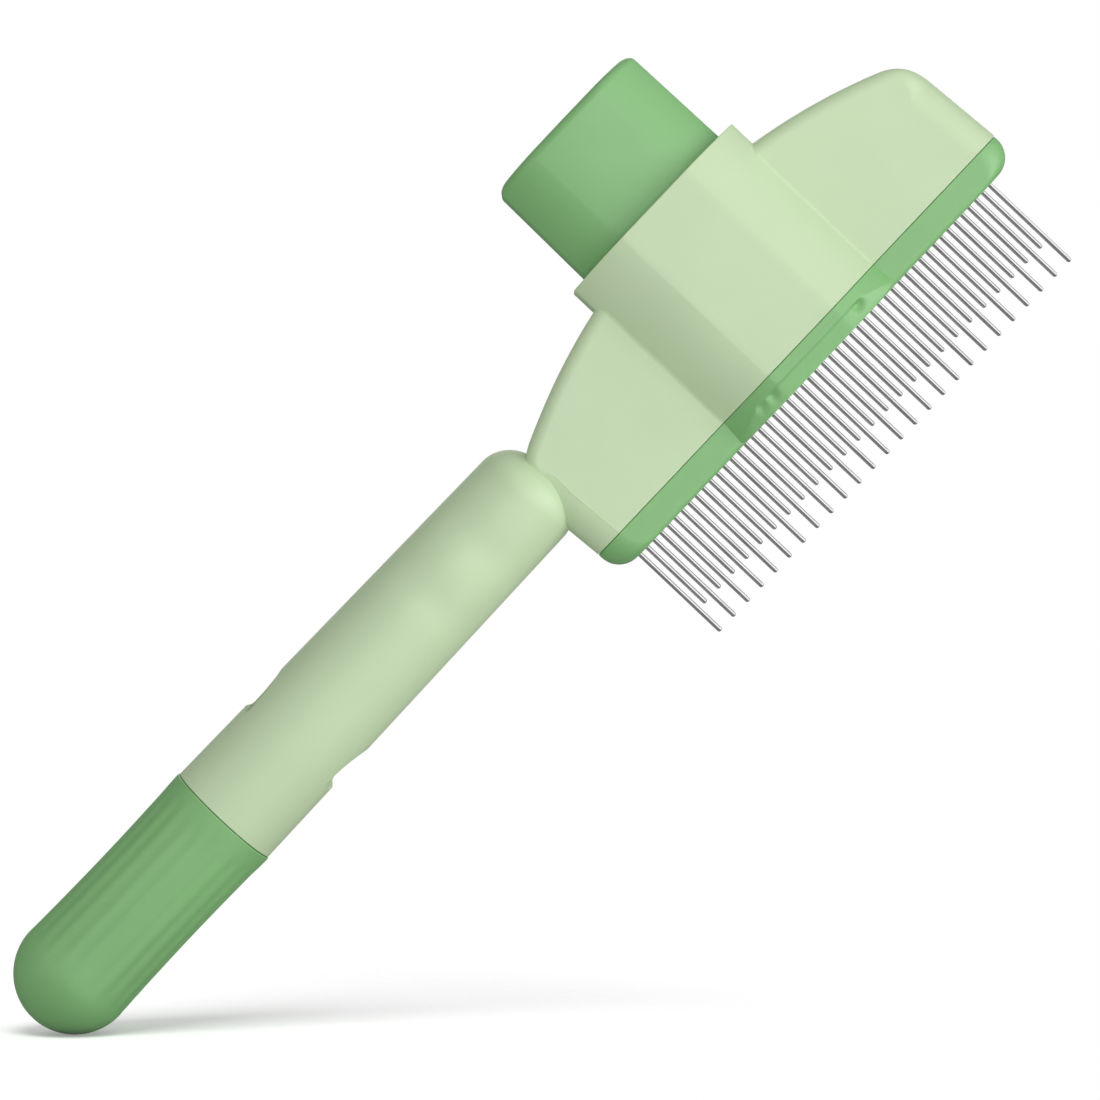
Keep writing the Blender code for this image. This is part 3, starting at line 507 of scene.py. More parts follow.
def dimple(x, facing):
    """Depth of the finger dimples; facing is 1 straight in front."""
    along = sum(math.exp(-(((x - centre) / DIMPLE_LENGTH) ** 2)) for centre in DIMPLES_X)
    return DIMPLE_DEPTH * along * max(0.0, facing) ** 2


def handle_solid():
    """Tapered round handle with two finger dimples in front and a flattened dome in the head."""
    start = SEAM_X + SPLIT
    profile = [(start, handle_radius(start) - EDGE), (start + EDGE, handle_radius(start))]
    stations = HANDLE_STATIONS + steps(DIMPLED_START, DOME_X, 40)
    profile += [(x, handle_radius(x)) for x in stations]
    for angle in steps(0.0, DOME_END, 20)[1:]:
        profile.append((DOME_X + DOME_LENGTH * math.sin(angle),
                        HANDLE_RADIUS_AT_DOME * math.cos(angle) ** DOME_FULLNESS))
    rings = []
    for x, radius in profile:
        ring = []
        for y, z in circle(1.0, 96):
            reach = radius - dimple(x, -y) * radius / HANDLE_RADIUS_AT_DOME
            ring.append((x, reach * y, reach * z))
        rings.append(ring)
    return loft("handle", rings)


def shoulder_slope():
    """Slope of the shoulder arc where it meets the corner arc."""
    return math.asin(CORNER_X / (SHOULDER_RADIUS - CORNER_RADIUS))


def head_rounding(angle, end_rounding, top_rounding):
    """Edge rounding of the head, full at its ends and small along the shoulder."""
    share = smooth_share(angle, SIDE_DRAFT, CORNER_TURN)
    return end_rounding + (top_rounding - end_rounding) * share


def head_stations(low):
    """(x, z, radius, angle, crease share) round the head's right half, from its foot up."""
    slope = shoulder_slope()
    stations = []
    for z in [low, HEAD_BOTTOM - STATION_GAP] + steps(HEAD_BOTTOM, CORNER_Z - STATION_GAP, 8):
        side_x = HEAD_HALF_LENGTH - (z - HEAD_BOTTOM) * math.tan(SIDE_DRAFT)
        stations.append((side_x, z, 0.0, SIDE_DRAFT, 0.0 if z == low else 1.0))
    for angle in steps(SIDE_DRAFT, RIGHT_ANGLE - slope, 14):
        share = 1 - smooth_share(angle, SIDE_DRAFT, CORNER_TURN)
        stations.append((CORNER_X, CORNER_Z, CORNER_RADIUS, angle, share))
    for angle in steps(RIGHT_ANGLE - slope, RIGHT_ANGLE, 18)[1:]:
        stations.append((0.0, SHOULDER_TOP - SHOULDER_RADIUS, SHOULDER_RADIUS, angle, 0.0))
    return stations


def left_lean(z):
    """How far the left end of the head leans out at height z."""
    height = max(0.0, z - HEAD_BOTTOM)
    return LEFT_LEAN * height * (1 - smooth_share(height, *LEFT_LEAN_END))


def head_solid(name, inset, half_depth, end_rounding, top_rounding, low, crease, arcs=10):
    """The head slab with rounded edges; its left end is creased and grooved if crease is set."""
    stations = head_stations(low)

    def ring(share, groove_step, side_y):
        points = []
        for side_x in (1, -1):
            half = []
            for x, z, radius, angle, crease_share in stations:
                rounding = head_rounding(angle, end_rounding, top_rounding)
                kink = crease * crease_share if side_x < 0 else 0.0
                arc_radius = rounding / math.cos(kink)
                turn = share * (RIGHT_ANGLE - kink)
                along_groove = groove_step * GROOVE_WIDTH / 2
                reach = radius - inset - arc_radius * (1 - math.cos(turn)) - along_groove
                depth = half_depth - rounding + arc_radius * math.sin(turn)
                if groove_step == 1 and kink:
                    depth -= GROOVE_DEPTH * crease_share
                rise = reach * math.sin(angle) if radius else along_groove
                out = left_lean(z + rise) if side_x < 0 else 0.0
                half.append((side_x * (x + out + reach * math.cos(angle)),
                             side_y * depth, z + rise))
            points += half if side_x > 0 else half[-2::-1]
        return points

    side = [ring(share, 0, 1) for share in steps(0.0, 1.0, arcs)]
    if crease:
        side += [ring(1.0, 1, 1), ring(1.0, 2, 1)]
    front = [[(x, -y, z) for x, y, z in points] for points in side]
    return loft(name, front[::-1] + side)


def fillet_section(face_y, radius):
    """Section of the fillet between the collar's side and the head's face at depth face_y."""
    rate = side_rate(COLLAR_HALF_WIDTH)
    low, high = SIDE_START, SIDE_END
    for _ in range(40):
        angle = (low + high) / 2
        point = Vector(side_place(rate, COLLAR_HALF_DEPTH, angle))
        out = Vector((math.sin(angle), math.cos(angle)))
        if point.y + radius * out.y > face_y + radius:
            low = angle
        else:
            high = angle
    centre = point + radius * out
    start = math.atan2(-out.y, -out.x)
    end = -RIGHT_ANGLE if start < 0 else TURN - RIGHT_ANGLE
    section = [point - out * FILLET_CORE, point - out * FILLET_BURY]
    for angle in steps(start, end, 8)[1:-1]:
        section.append(centre + radius * Vector((math.cos(angle), math.sin(angle))))
    section.append(Vector((centre.x, face_y - FILLET_BURY)))
    section.append(Vector((centre.x, face_y - FILLET_CORE)))
    section.append(Vector((point.x - FILLET_CORE, face_y - FILLET_CORE)))
    return section


def collar_fillets():
    """Soft run-out between the collar and the head's faces, fading over the shoulder's edge."""
    sagitta = SHOULDER_RADIUS - math.sqrt(SHOULDER_RADIUS ** 2 - COLLAR_HALF_WIDTH ** 2)
    levels = [(HEAD_BOTTOM - 1.5 * OVERSHOOT, HEAD_HALF_DEPTH, COLLAR_FILLET)]
    for turn in steps(0.0, FILLET_FADE_TURN, 8):
        z = SHOULDER_TOP - sagitta - TOP_ROUNDING * (1 - math.sin(turn))
        face_y = HEAD_HALF_DEPTH - TOP_ROUNDING * (1 - math.cos(turn))
        levels.append((z, face_y, COLLAR_FILLET * (1 - FILLET_FADE * turn / FILLET_FADE_TURN)))
    sets = []
    for side_x in (-1, 1):
        for side_y in (-1, 1):
            sets.append([[(side_x * p.x, side_y * p.y, z) for p in fillet_section(face_y, radius)]
                         for z, face_y, radius in levels])
    return lofts("collar_fillets", sets)


def collar_loft(name, levels):
    """The collar's oval through (z, inset) levels."""
    return loft(name, [
        [(x, y, z) for x, y in creased_oval(COLLAR_HALF_WIDTH - inset, COLLAR_HALF_DEPTH - inset)]
        for z, inset in levels
    ])


# ---------------- housing: hollows and halves

def tunnel_rings(grow):
    """D-shaped lanyard hole along Z with round corners; its rear wall leans."""
    corner_x = HOLE_FLAT_X - grow + HOLE_CORNER
    reach, half = HOLE_LENGTH + 2 * grow - HOLE_CORNER, HOLE_HALF_WIDTH + grow
    outline = [(corner_x + reach * math.cos(angle), half * math.sin(angle))
               for angle in steps(-RIGHT_ANGLE, RIGHT_ANGLE, 31)]
    outline += [(corner_x + HOLE_CORNER * math.cos(angle),
                 half - HOLE_CORNER * (1 - math.sin(angle)))
                for angle in steps(RIGHT_ANGLE, math.pi, 4)[1:]]
    outline += [(corner_x + HOLE_CORNER * math.cos(angle),
                 HOLE_CORNER * (1 + math.sin(angle)) - half)
                for angle in steps(-math.pi, -RIGHT_ANGLE, 4)[:-1]]
    rings = []
    for z in (-2 * CAP_RADIUS, 2 * CAP_RADIUS):
        rear = (HOLE_REAR_SHARE - HOLE_REAR_LEAN * z) * HOLE_HALF_WIDTH + grow
        ring = []
        for x, y in outline:
            back = max(0.0, y / half)
            along = (x - HOLE_FLAT_X + grow) / (HOLE_LENGTH + 2 * grow)
            shift = HOLE_REAR_SHIFT * back * (1 - along)
            ring.append((x + shift, y * rear / half if y > 0 else y, z))
        rings.append(ring)
    return rings


def screw_places(in_handle):
    """(x, z) of the shell screws of the handle or of the head."""
    return [(x, z) for x, z, floor in SHELL_SCREWS.values() if (x < DOME_X) == in_handle]


def handle_hollow():
    """Inside of the handle, which leaves bosses for the screws and a wall round the hole."""
    start = SEAM_X + HOLLOW_START
    bore, radius = SPIGOT_RADIUS - SPIGOT_WALL, handle_radius(HOLLOW_END_X) - HANDLE_WALL
    end_length, end_inset = HOLLOW_END_CHAMFER
    hollow = loft("handle_hollow", turned_x_rings([
        (SEAM_X - SPIGOT_LENGTH - 2 * OVERSHOOT, bore), (start, bore),
        (start + HOLLOW_FLARE, handle_radius(start) - HANDLE_WALL),
        (HOLLOW_END_X - end_length, radius), (HOLLOW_END_X, radius - end_inset),
    ], 48))
    bosses = []
    for x, z in screw_places(in_handle=True):
        root = handle_radius(x) - BOSS_ROOT * HANDLE_WALL
        bosses.append(rod_y_rings(BOSS_RADIUS, -root, root, (x, z)))
    return cut(hollow, lofts("bosses", bosses + [tunnel_rings(HOLE_WALL)]))


def head_hollow():
    """Inside of the head and the collar's bore, which leaves two half bosses for each screw."""
    hollow = head_solid("head_hollow", HEAD_WALL, HEAD_HALF_DEPTH - HEAD_WALL,
                        END_ROUNDING - HEAD_WALL, TOP_ROUNDING / 2, HEAD_BOTTOM - 4 * OVERSHOOT,
                        0.0, arcs=5)
    join(hollow, collar_loft("collar_bore", [
        (HEAD_BOTTOM - 5 * OVERSHOOT, COLLAR_WALL), (COLLAR_TOP - RIM_EDGE, COLLAR_WALL),
        (COLLAR_TOP + OVERSHOOT, COLLAR_WALL - RIM_EDGE - OVERSHOOT),
    ]))
    bosses = []
    root = HEAD_HALF_DEPTH - HEAD_WALL / 2
    for centre in screw_places(in_handle=False):
        bosses += [rod_y_rings(BOSS_RADIUS, low, high, centre)
                   for low, high in ((-root, -BOSS_HALF_GAP), (BOSS_HALF_GAP, root))]
    return cut(hollow, lofts("bosses", bosses))


def shells():
    """Front and rear halves of the housing, cut from one form along the mid-plane."""
    form = handle_solid()
    spigot = [(SEAM_X - SPIGOT_LENGTH, SPIGOT_RADIUS), (SEAM_X + SPIGOT_ROOT, SPIGOT_RADIUS)]
    join(form, loft("spigot", turned_x_rings(spigot, 64)))
    join(form, head_solid("head", 0.0, HEAD_HALF_DEPTH, END_ROUNDING, TOP_ROUNDING,
                          HEAD_BOTTOM - 2 * OVERSHOOT, END_CREASE))
    collar = [(HEAD_BOTTOM - OVERSHOOT, 0.0), (COLLAR_TOP - RIM_EDGE, 0.0), (COLLAR_TOP, RIM_EDGE)]
    join(form, collar_loft("collar", collar), collar_fillets())
    far = 200.0
    below = box_rings((-far, -far, HEAD_BOTTOM - 20 * OVERSHOOT),
                      (far, far, HEAD_BOTTOM + PLATE_SPLIT))
    halves = []
    for name, side in (("front_shell_skin", -1), ("rear_shell_skin", 1)):
        half = link(bpy.data.objects.new(name, form.data.copy()))
        low, high = (-SPLIT, far) if side < 0 else (-far, SPLIT)
        cut(half, loft("half_space", box_rings((-far, low, -far), (far, high, far))))
        cut(half, handle_hollow(), head_hollow(), lofts("openings", [tunnel_rings(0.0), below]))
        drills, clearances = [], []
        for x, z, floor in SHELL_SCREWS.values():
            if side > 0:
                drills.append(rod_y_rings(COUNTERBORE_RADIUS, floor, 2 * CAP_RADIUS, (x, z), 48))
                clearances.append(rod_y_rings(SCREW_HOLE_RADIUS, -OVERSHOOT, floor + OVERSHOOT,
                                              (x, z)))
            else:
                drills.append(rod_y_rings(SCREW_HOLE_RADIUS, floor - PILOT_DEPTH, OVERSHOOT,
                                          (x, z)))
        for rods in (drills, clearances):
            if rods:
                cut(half, lofts("drills", rods))
        halves.append(half)
    bpy.data.objects.remove(form)
    return halves


front, rear = shells()
finish_piece(front, pale_green, "housing", "pale_green_plastic", "front_shell", weighted=True)
finish_piece(rear, pale_green, "housing", "pale_green_plastic", "rear_shell", weighted=True)


# ---------------- end cap

FLUTES, FLUTE_STEPS, FLUTE_DEPTH = 22, 12, 0.16
FLUTE_START = (-1.5, 5.0)  # flutes set in between these distances from the start of the round end
FLUTE_END = (-4.5, -2.0)  # and run out between these distances from the rim
CAP_WAIST, CAP_WALL, CAP_RIM = 0.25, 1.8, 1.0
CAP_POLE, HOLLOW_POLE = math.radians(87), math.radians(80)  # where the round ends are cut flat


def cap_radius(x):
    """The cap is waisted between its round end and its rim."""
    share = (x - CAP_TIP_X - CAP_RADIUS) / (SEAM_X - CAP_TIP_X - CAP_RADIUS)
    return CAP_RADIUS - CAP_WAIST * math.sin(math.pi * min(1.0, max(0.0, share)))


def end_cap():
    """Waisted cap with flutes along its middle and a round end, hollow for the spigot."""
    rim_x = SEAM_X - SPLIT
    round_x = CAP_TIP_X + CAP_RADIUS
    profile = [(rim_x, cap_radius(rim_x) - EDGE), (rim_x - EDGE, cap_radius(rim_x))]
    profile += [(x, cap_radius(x)) for x in steps(rim_x - CAP_RIM, round_x, 24)]
    for angle in steps(0.0, CAP_POLE, 24)[1:]:
        profile.append((round_x - CAP_RADIUS * math.sin(angle), CAP_RADIUS * math.cos(angle)))
    rings = []
    for x, radius in profile:
        onset = smooth_share(x, *(round_x + distance for distance in FLUTE_START))
        depth = onset * (1 - smooth_share(x, *(rim_x + distance for distance in FLUTE_END)))
        ring = []
        for i, (y, z) in enumerate(circle(1.0, FLUTE_STEPS * FLUTES)):
            reach = radius - FLUTE_DEPTH * depth * (1 - math.cos(TURN * i / FLUTE_STEPS)) / 2
            ring.append((x, reach * y, reach * z))
        rings.append(ring)
    cap = loft("end_cap_skin", rings)
    bore = SPIGOT_RADIUS + CAD_GAP
    hollow = [(SEAM_X + OVERSHOOT, bore), (round_x, bore)]
    for angle in steps(0.0, HOLLOW_POLE, 8)[1:]:
        hollow.append((round_x - (CAP_RADIUS - CAP_WALL) * math.sin(angle),
                       bore * math.cos(angle)))
    return cut(cap, loft("cap_hollow", turned_x_rings(hollow, 64)))


finish_piece(end_cap(), leaf_green, "housing", "leaf_green_plastic", "end_cap", sharp=35.0)


# ---------------- teeth and their bar

def tooth_positions(parity):
    """X of the long teeth (parity 0) or of the short ones between them (1)."""
    return [FIRST_TOOTH_X + TOOTH_PITCH * i for i in range(parity, 2 * LONG_TEETH - 1, 2)]


def wires(name, parity, tip):
    """Drawn wires with round tips."""
    profile = [(TOOTH_ROOT_Z, TOOTH_RADIUS), (tip + TOOTH_RADIUS, TOOTH_RADIUS)]
    for angle in steps(0.0, TIP_POLE, 5)[1:]:
        profile.append((tip + TOOTH_RADIUS * (1 - math.sin(angle)), TOOTH_RADIUS * math.cos(angle)))
    return lofts(name, [turned_z_rings(profile, (x, 0.0), 20) for x in tooth_positions(parity)])


def tooth_holes(radius, low, high):
    """Rods that cut a hole for each tooth."""
    return lofts("tooth_holes", [turned_z_rings([(low, radius), (high, radius)], (x, 0.0), 16)
                                 for x in tooth_positions(0) + tooth_positions(1)])


def tooth_bar():
    """Bar with round ends and a hole for each tooth in its lower face."""
    length, depth = bar_high.x, (bar_high.y - bar_low.y) / 2
    outline = oval(length, depth, 8, length - BAR_END)
    levels = [(bar_low.z, BAR_CHAMFER), (bar_low.z + BAR_CHAMFER, 0.0), (bar_high.z, 0.0)]
    bar = loft("tooth_bar_skin", [
        [(x * (length - inset) / length, y * (depth - inset) / depth, z) for x, y in outline]
        for z, inset in levels
    ])
    return cut(bar, tooth_holes(BAR_HOLE_RADIUS, bar_low.z - OVERSHOOT,
                                bar_low.z + BAR_HOLE_DEPTH))


for parity, node, tip in ((0, "long_teeth", LONG_TIP), (1, "short_teeth", SHORT_TIP)):
    finish_piece(wires(node + "_skin", parity, tip), tooth_steel, "housing", "tooth_steel", node)
finish_piece(tooth_bar(), white_plastic, "housing", "white_plastic", "tooth_bar")


# ---------------- button

def push_button():
    """Oval cup with a softly rounded top edge."""
    levels = [(BUTTON_BOTTOM, 0.0, 0.0), (COLLAR_TOP, 0.0, 0.0),
              (BUTTON_TOP - BUTTON_ROUNDING, BUTTON_TAPER, 0.0)]
    for angle in steps(0.0, RIGHT_ANGLE, 8)[1:]:
        levels.append((BUTTON_TOP - BUTTON_ROUNDING * (1 - math.sin(angle)), BUTTON_TAPER,
                       BUTTON_ROUNDING * (1 - math.cos(angle))))
    rings = []
    for z, taper, inset in levels:
        half_width = BUTTON_HALF_WIDTH - taper - BUTTON_END_REACH * inset
        outline = creased_oval(half_width, BUTTON_HALF_DEPTH - inset, BUTTON_CROWN)
        rings.append([(x, y, z) for x, y in outline])
    button = loft("push_button_skin", rings)
    inside = oval(BUTTON_HALF_WIDTH - BUTTON_TAPER - BUTTON_WALL, BUTTON_HALF_DEPTH - BUTTON_WALL)
    return cut(button, loft("button_hollow", prism_rings_z(
        inside, BUTTON_BOTTOM - OVERSHOOT, BUTTON_TOP - BUTTON_WALL)))


finish_piece(push_button(), leaf_green, "ejector", "leaf_green_plastic", "push_button",
             weighted=True)


# ---------------- stripper plate

def plate_rounding(z):
    """How far the plate's faces lie in at height z, where its lower edge is rounded."""
    share = max(0.0, (PLATE_BOTTOM + PLATE_ROUNDING - z) / PLATE_ROUNDING)
    return PLATE_ROUNDING * (1 - math.sqrt(1 - share ** 2))


def recess_depth(x, z):
    """How far the bulge's face lies back below the ledge, with dimples where the toes snap in."""
    below = LEDGE_Z - z - RECESS_RUN_OUT * max(0.0, abs(x) - RECESS_HALF_WIDTH)
    onset = smooth_share(below, *LEDGE_ONSET)
    side = smooth_share(abs(x), RECESS_HALF_WIDTH - RECESS_SIDE, RECESS_HALF_WIDTH)
    depth = RECESS_SLOPE * max(0.0, below) * (1 - smooth_share(abs(x), *RECESS_END))
    depth += RECESS_DEPTH * onset * (1 - side)
    for centre, half_width, snap_depth in SNAPS:
        across = (1 - min(1.0, abs(x - centre) / half_width) ** 2) ** 2
        fade = smooth_share(below, LEDGE_ONSET[1], SNAP_DROP)
        depth += snap_depth * across * onset * (1 - fade)
    return depth


def bulge():
    """Continues the collar down and flares out, with a recess below a ledge on both faces."""
    top = HEAD_BOTTOM - PLATE_SPLIT
    rings = []
    for z in [top, top - PLATE_EDGE] + steps(LEDGE_Z + LEDGE_MARGIN, PLATE_BOTTOM, 30):
        inset = PLATE_EDGE if z == top else plate_rounding(z)
        half_width = COLLAR_HALF_WIDTH + BULGE_FLARE * (top - z) / (top - PLATE_BOTTOM)
        outer = creased_oval(half_width, COLLAR_HALF_DEPTH, side_steps=40)
        outline = creased_oval(half_width - inset, COLLAR_HALF_DEPTH - inset, side_steps=40)
        ring = []
        for (full_x, full_y), (x, y) in zip(outer, outline):
            depth = min(abs(y), abs(full_y) - recess_depth(full_x, z))
            ring.append((x, math.copysign(depth, y), z))
        rings.append(ring)
    return loft("bulge", rings)


def stripper_plate():
    """Plate with round ends, a bulge under the collar and pockets that hold the frame's toes."""
    top = HEAD_BOTTOM - PLATE_SPLIT
    bend_z = PLATE_BOTTOM + PLATE_CORNER
    levels = [(top, PLATE_EDGE, PLATE_EDGE), (top - PLATE_EDGE, 0.0, 0.0)]
    for angle in steps(0.0, RIGHT_ANGLE, 16):
        z = bend_z - PLATE_CORNER * math.sin(angle)
        levels.append((z, PLATE_CORNER * (1 - math.cos(angle)), plate_rounding(z)))
    plate = loft("stripper_plate_skin", [
        [(x, y, z) for x, y in oval(HEAD_HALF_LENGTH - end_inset, HEAD_HALF_DEPTH - inset, 12,
                                    HEAD_HALF_LENGTH - END_ROUNDING - end_inset)]
        for z, end_inset, inset in levels
    ])
    join(plate, bulge())
    slot_x = TOE_HALF_WIDTH + SLOT_PLAY
    slot_in, slot_out = LEG_OUTER - LEG_THICKNESS - SLOT_PLAY, LEG_OUTER + SLOT_PLAY
    slots, pockets = [], []
    for side in (-1, 1):
        low_y, high_y = sorted((side * slot_in, side * slot_out))
        slots.append(box_rings((-slot_x, low_y, PLATE_BOTTOM - OVERSHOOT),
                               (slot_x, high_y, top + OVERSHOOT)))
        low_y, high_y = sorted((side * (slot_in + POCKET_STEP[1]),
                                side * (TOE_REACH + SLOT_PLAY)))
        pockets.append(box_rings((-slot_x - POCKET_STEP[0], low_y, PLATE_BOTTOM - 2 * OVERSHOOT),
                                 (slot_x + POCKET_STEP[0], high_y, POCKET_TOP)))
    return cut(plate, lofts("slots", slots), lofts("pockets", pockets),
               tooth_holes(TOOTH_HOLE_RADIUS, PLATE_BOTTOM - OVERSHOOT, top + OVERSHOOT))


finish_piece(stripper_plate(), leaf_green, "ejector", "leaf_green_plastic", "stripper_plate",
             weighted=True)


# ---------------- spring and screws

def return_spring():
    """Fine coil between the bar's cover and the yoke, with a closed turn at each end."""
    wire, turns, dead, per_turn = 0.4, 8, 1, 48
    dead_rise = 2.3 * wire  # of a closed turn
    radius = (spring_high.x - spring_low.x) / 2 - wire
    low, high = spring_low.z + wire, spring_high.z - wire
    active = turns - 2 * dead
    pitch = (high - low - 2 * dead_rise) / active
    rings = []
    for i in range(turns * per_turn + 1):
        turn = i / per_turn
        z = low + dead_rise * min(turn, dead) + pitch * min(max(turn - dead, 0.0), active)
        z += dead_rise * max(turn - turns + dead, 0.0)
        angle = TURN * turn
        rings.append([((radius + out) * math.cos(angle), (radius + out) * math.sin(angle), z + up)
                      for out, up in circle(wire, 12)])
    return loft("return_spring_coil", rings)


spring = finish_piece(return_spring(), spring_steel, "housing", "spring_steel", "return_spring")
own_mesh(spring)


SHELL_SCREW = (2.0, 1.4, 1.0, 7.3)  # head radius and height, shank radius and length
BUTTON_SCREW = (1.5, 1.1, 0.8, 9.0)
SCREW_EDGE = 0.1
SCREW_POINT, SCREW_CENTRE = 0.3, 0.15  # flats at both ends, as shares of shank and head radius
RIM_HEIGHT, DOME_SHARE = 0.35, 0.7  # of the head's height and radius
CROSS_REACH, CROSS_HALF_WIDTH, CROSS_FLOOR = 0.58, 0.13, 0.45  # of the head's radius and height
SEAT_GAP = 0.05
FIRST_ROLL, ROLL_STEP, BUTTON_ROLL = 0.2, 0.7, 0.4  # no two crosses in the shell stand alike


def screw(name, head_radius, head_height, shank_radius, length):
    """Domed screw along -Z from its seat at the origin, with a cross recess; returns its mesh."""
    rings = [(-length, SCREW_POINT * shank_radius), (-length + shank_radius, shank_radius),
             (0.0, shank_radius), (0.0, head_radius - SCREW_EDGE), (SCREW_EDGE, head_radius),
             (RIM_HEIGHT * head_height, head_radius)]
    for angle in steps(0.0, RIGHT_ANGLE, 8)[1:-1]:
        rings.append((head_height * (RIM_HEIGHT + (1 - RIM_HEIGHT) * math.sin(angle)),
                      head_radius * (1 - DOME_SHARE + DOME_SHARE * math.cos(angle))))
    rings.append((head_height, SCREW_CENTRE * head_radius))
    body = loft(name, turned_z_rings(rings, (0.0, -MID_Y), 40))
    reach, half, floor = (CROSS_REACH * head_radius, CROSS_HALF_WIDTH * head_radius,
                          CROSS_FLOOR * head_height)
    arms = [loft("arm", box_rings((-x, -y - MID_Y, floor), (x, y - MID_Y, head_height + OVERSHOOT)))
            for x, y in ((reach, half), (half, reach))]
    cut(body, join(*arms))
    mesh = body.data
    bpy.data.objects.remove(body)
    return mesh


def place_screw(node, mesh, seat, turn, roll, body):
    """Puts a copy of a screw at its seat, turned to its hole and rolled about its axis."""
    piece = link(bpy.data.objects.new(node + "_fine", mesh.copy()))
    rotation = turn.to_4x4() @ Matrix.Rotation(roll, 4, "Z")
    place = Matrix.Translation((seat[0] * MM, (seat[1] + MID_Y) * MM, seat[2] * MM))
    piece.data.transform(place @ rotation)
    finish_piece(piece, screw_steel, body, "screw_steel", node)


shell_screw = screw("shell_screw", *SHELL_SCREW)
out_of_back = Matrix.Rotation(-RIGHT_ANGLE, 3, "X")
for i, (node, (x, z, floor)) in enumerate(SHELL_SCREWS.items()):
    place_screw(node, shell_screw, (x, floor + SEAT_GAP, z), out_of_back,
                ROLL_STEP * i + FIRST_ROLL, "housing")
button_screw = screw("button_screw", *BUTTON_SCREW)
upside_down = Matrix.Rotation(math.pi, 3, "X")
for node in ("button_screw_left", "button_screw_right"):
    low, high = box_mm(node)
    seat = ((low.x + high.x) / 2, 0.0, low.z + BUTTON_SCREW[1])
    place_screw(node, button_screw, seat, upside_down, BUTTON_ROLL, "ejector")

CARRIED = {"push_frame": leaf_green, "bar_cover": white_plastic, "guide_pin": spring_steel}
for node, surface in CARRIED.items():
    materials = frame["nodes"][node].data.materials
    materials.clear()
    materials.append(surface)
rounding = frame["nodes"]["push_frame"].modifiers.new("moulded_edges", "BEVEL")
rounding.width = 0.25 * MM
rounding.segments = 3
rounding.limit_method = "ANGLE"
rounding.angle_limit = math.radians(40)


# ---------------- floor, light and camera

PHOTO_UP = Vector((0.7266, 0.0, 0.6871)).normalized()
PHOTO_RIGHT = Vector((0.6871, 0.0, -0.7266)).normalized()
TO_CAMERA = Vector((0.0, -1.0, 0.0))

DARK_STUDIO, BRIGHT_WINDOW, SOFT_LIGHT = 0.2, 1.15, 0.405
WINDOW_FRONT, WINDOW_SIDE = (-0.5, -0.15), (0.12, 0.4)  # edges, along TO_CAMERA and along +X

FLOOR_HALF = 0.6  # metres, as are the other distances on the floor
FLOOR_FADE = (0.03, 0.125)  # the sheet fades out between these distances from the cap
FLOOR_GLOW, GLOW_SPREAD = (0.26, 0.4), (0.08, 0.3)  # it glows more far off, to run out into white
FLOOR_SEEN, FLOOR_BOUNCE = (0.93, 0.93, 0.93), (0.5, 0.5, 0.5)

LIGHTS = (  # direction as shares of right, up and towards the camera; power in watts
    ("side_light", (1.0, 0.25, 0.5), 3.2),
    ("front_light", (0.15, 0.15, 1.0), 2.2),
    ("low_light", (0.5, -0.6, 0.7), 1.25),
    ("left_light", (-0.9, 0.2, 0.6), 0.8),
    ("back_light", (0.0, 0.4, -1.0), 1.6),
)
FLOOR_LIGHT = ("floor_light", (0.0, 1.0, 0.8), 5.6, 0.45)  # the last is its size
LIGHT_SIZE, LIGHT_DISTANCE = 0.6, 0.9
LIGHT_TARGET = Vector((-0.045, MID_Y * MM, 0.0))  # the middle of the comb
LIGHT_UP = Vector((0.0, 0.6, 0.8))

CAMERA_PLACE = Vector((-0.0489, MID_Y * MM - 0.687, -0.0084))
CAMERA_LENS, SENSOR_WIDTH, CLIP_START = 146.0, 36.0, 0.01


def aim(obj, place, target, up):
    """Stands obj at place with its -Z axis towards target and its Y axis along up."""
    back = (place - target).normalized()
    right = up.cross(back).normalized()
    axes = Matrix((right, back.cross(right), back)).transposed()
    obj.matrix_world = Matrix.Translation(place) @ axes.to_4x4()


def floor_paper():
    """Pale paper that fades out round the cap. It is clear from below and left out of
    reflections, so that the bright metal keeps its dark sides."""
    nodes = Finish("floor_paper")
    path = nodes.add("ShaderNodeLightPath")
    seen = path.outputs["Is Camera Ray"]
    backfacing = nodes.add("ShaderNodeNewGeometry").outputs["Backfacing"]
    length = nodes.add("ShaderNodeVectorMath", operation="LENGTH")
    nodes.wire(nodes.place, length.inputs[0])
    distance = length.outputs["Value"]
    hidden = nodes.math("MAXIMUM", backfacing, path.outputs["Is Glossy Ray"])
    alpha = nodes.math("MULTIPLY", nodes.ramp(distance, *FLOOR_FADE, 1.0, 0.0),
                       nodes.math("SUBTRACT", 1.0, hidden))
    glow = nodes.math("MULTIPLY", seen, nodes.ramp(distance, *GLOW_SPREAD, *FLOOR_GLOW))
    nodes.shade(Base_Color=nodes.mix(seen, FLOOR_BOUNCE, FLOOR_SEEN), Roughness=0.9,
                Specular_IOR_Level=0.0, Alpha=alpha, Emission_Color=(*WHITE, 1.0),
                Emission_Strength=glow)
    return nodes.material


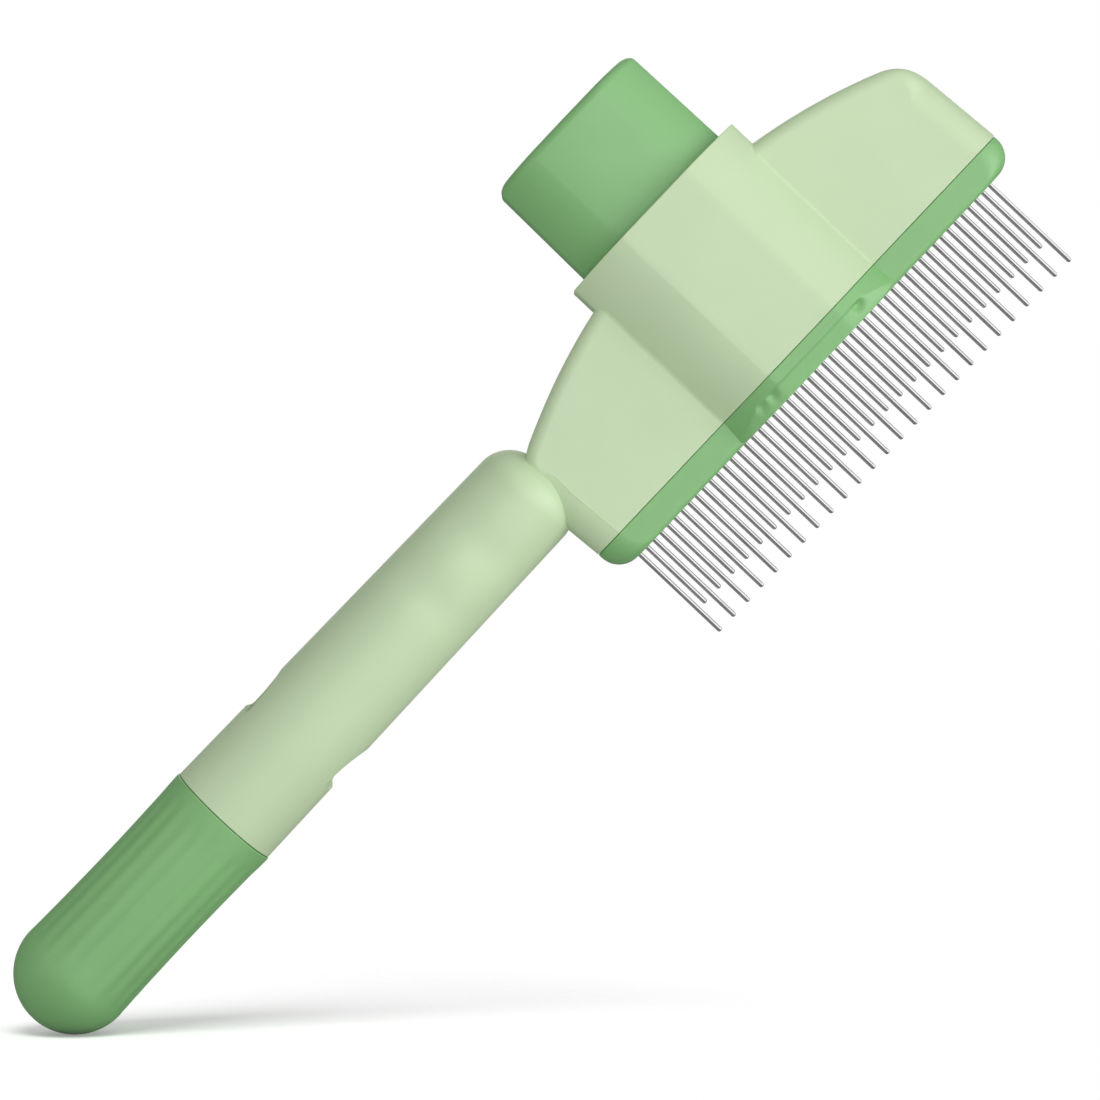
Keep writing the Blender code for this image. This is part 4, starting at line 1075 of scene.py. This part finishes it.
def floor():
    """Sheet just under the cap's round end, level in the photo."""
    corners = ((-1, -1), (1, -1), (1, 1), (-1, 1))
    mesh = bpy.data.meshes.new("floor")
    mesh.from_pydata([(x * FLOOR_HALF, y * FLOOR_HALF, 0) for x, y in corners], [], [(0, 1, 2, 3)])
    mesh.materials.append(floor_paper())
    sheet = link(bpy.data.objects.new("floor", mesh))
    cap_centre = Vector(((CAP_TIP_X + CAP_RADIUS) * MM, MID_Y * MM, 0.0))
    axes = Matrix((PHOTO_RIGHT, PHOTO_UP.cross(PHOTO_RIGHT), PHOTO_UP)).transposed()
    sheet.matrix_world = Matrix.Translation(cap_centre - PHOTO_UP * CAP_RADIUS * MM) @ axes.to_4x4()
    return sheet


def world():
    """White to the camera, a soft grey as a light source and a bright window in reflections."""
    sky = bpy.data.worlds.new("studio")
    bpy.context.scene.world = sky
    sky.use_nodes = True
    nodes = Nodes(sky.node_tree)
    background = nodes.tree.nodes["Background"]
    place = nodes.add("ShaderNodeTexCoord").outputs["Generated"]
    path = nodes.add("ShaderNodeLightPath")

    def blend(share, start, end, low=0.0, high=1.0):
        return nodes.ramp(share, low, high, start, end, interpolation_type="SMOOTHSTEP")

    def share_along(direction, edges):
        node = nodes.add("ShaderNodeVectorMath", operation="DOT_PRODUCT")
        nodes.wire(place, node.inputs[0])
        nodes.feed(direction, node.inputs[1])
        return blend(node.outputs["Value"], 0.0, 1.0, *edges)

    beside = blend(share_along(Vector((1.0, 0.0, 0.0)), WINDOW_SIDE), DARK_STUDIO, BRIGHT_WINDOW)
    window = blend(share_along(TO_CAMERA, WINDOW_FRONT), DARK_STUDIO, beside)
    reflected = blend(path.outputs["Is Glossy Ray"], SOFT_LIGHT, window)
    strength = blend(path.outputs["Is Camera Ray"], reflected, 1.0)
    nodes.feed((*WHITE, 1.0), background.inputs["Color"])
    nodes.wire(strength, background.inputs["Strength"])


def area_light(name, shares, power, size=LIGHT_SIZE, lit=None, unlit=()):
    """Soft square light aimed at the comb; it may light one object only, or skip some."""
    light = bpy.data.lights.new(name, "AREA")
    light.shape = "SQUARE"
    light.size = size
    light.energy = power
    right, up, front = shares
    direction = PHOTO_RIGHT * right + PHOTO_UP * up + TO_CAMERA * front
    lamp = link(bpy.data.objects.new(name, light))
    aim(lamp, LIGHT_TARGET + direction.normalized() * LIGHT_DISTANCE, LIGHT_TARGET, LIGHT_UP)
    receivers = bpy.data.collections.new(name + "_receivers")
    for piece in unlit if lit is None else (lit,):
        receivers.objects.link(piece)
    if lit is None:
        for member in receivers.collection_objects:
            member.light_linking.link_state = "EXCLUDE"
    lamp.light_linking.receiver_collection = receivers


world()
sheet = floor()
teeth = [obj for obj in bpy.context.scene.objects if obj.name.endswith("_teeth_skin")]
for name, shares, power in LIGHTS:
    area_light(name, shares, power, unlit=teeth + [sheet])
area_light(*FLOOR_LIGHT, lit=sheet)

camera_data = bpy.data.cameras.new("camera")
camera_data.lens = CAMERA_LENS
camera_data.sensor_width = SENSOR_WIDTH
camera_data.clip_start = CLIP_START
camera = link(bpy.data.objects.new("camera", camera_data))
aim(camera, CAMERA_PLACE, CAMERA_PLACE - TO_CAMERA, PHOTO_UP)
bpy.context.scene.camera = camera
bpy.context.scene.view_settings.view_transform = "Standard"
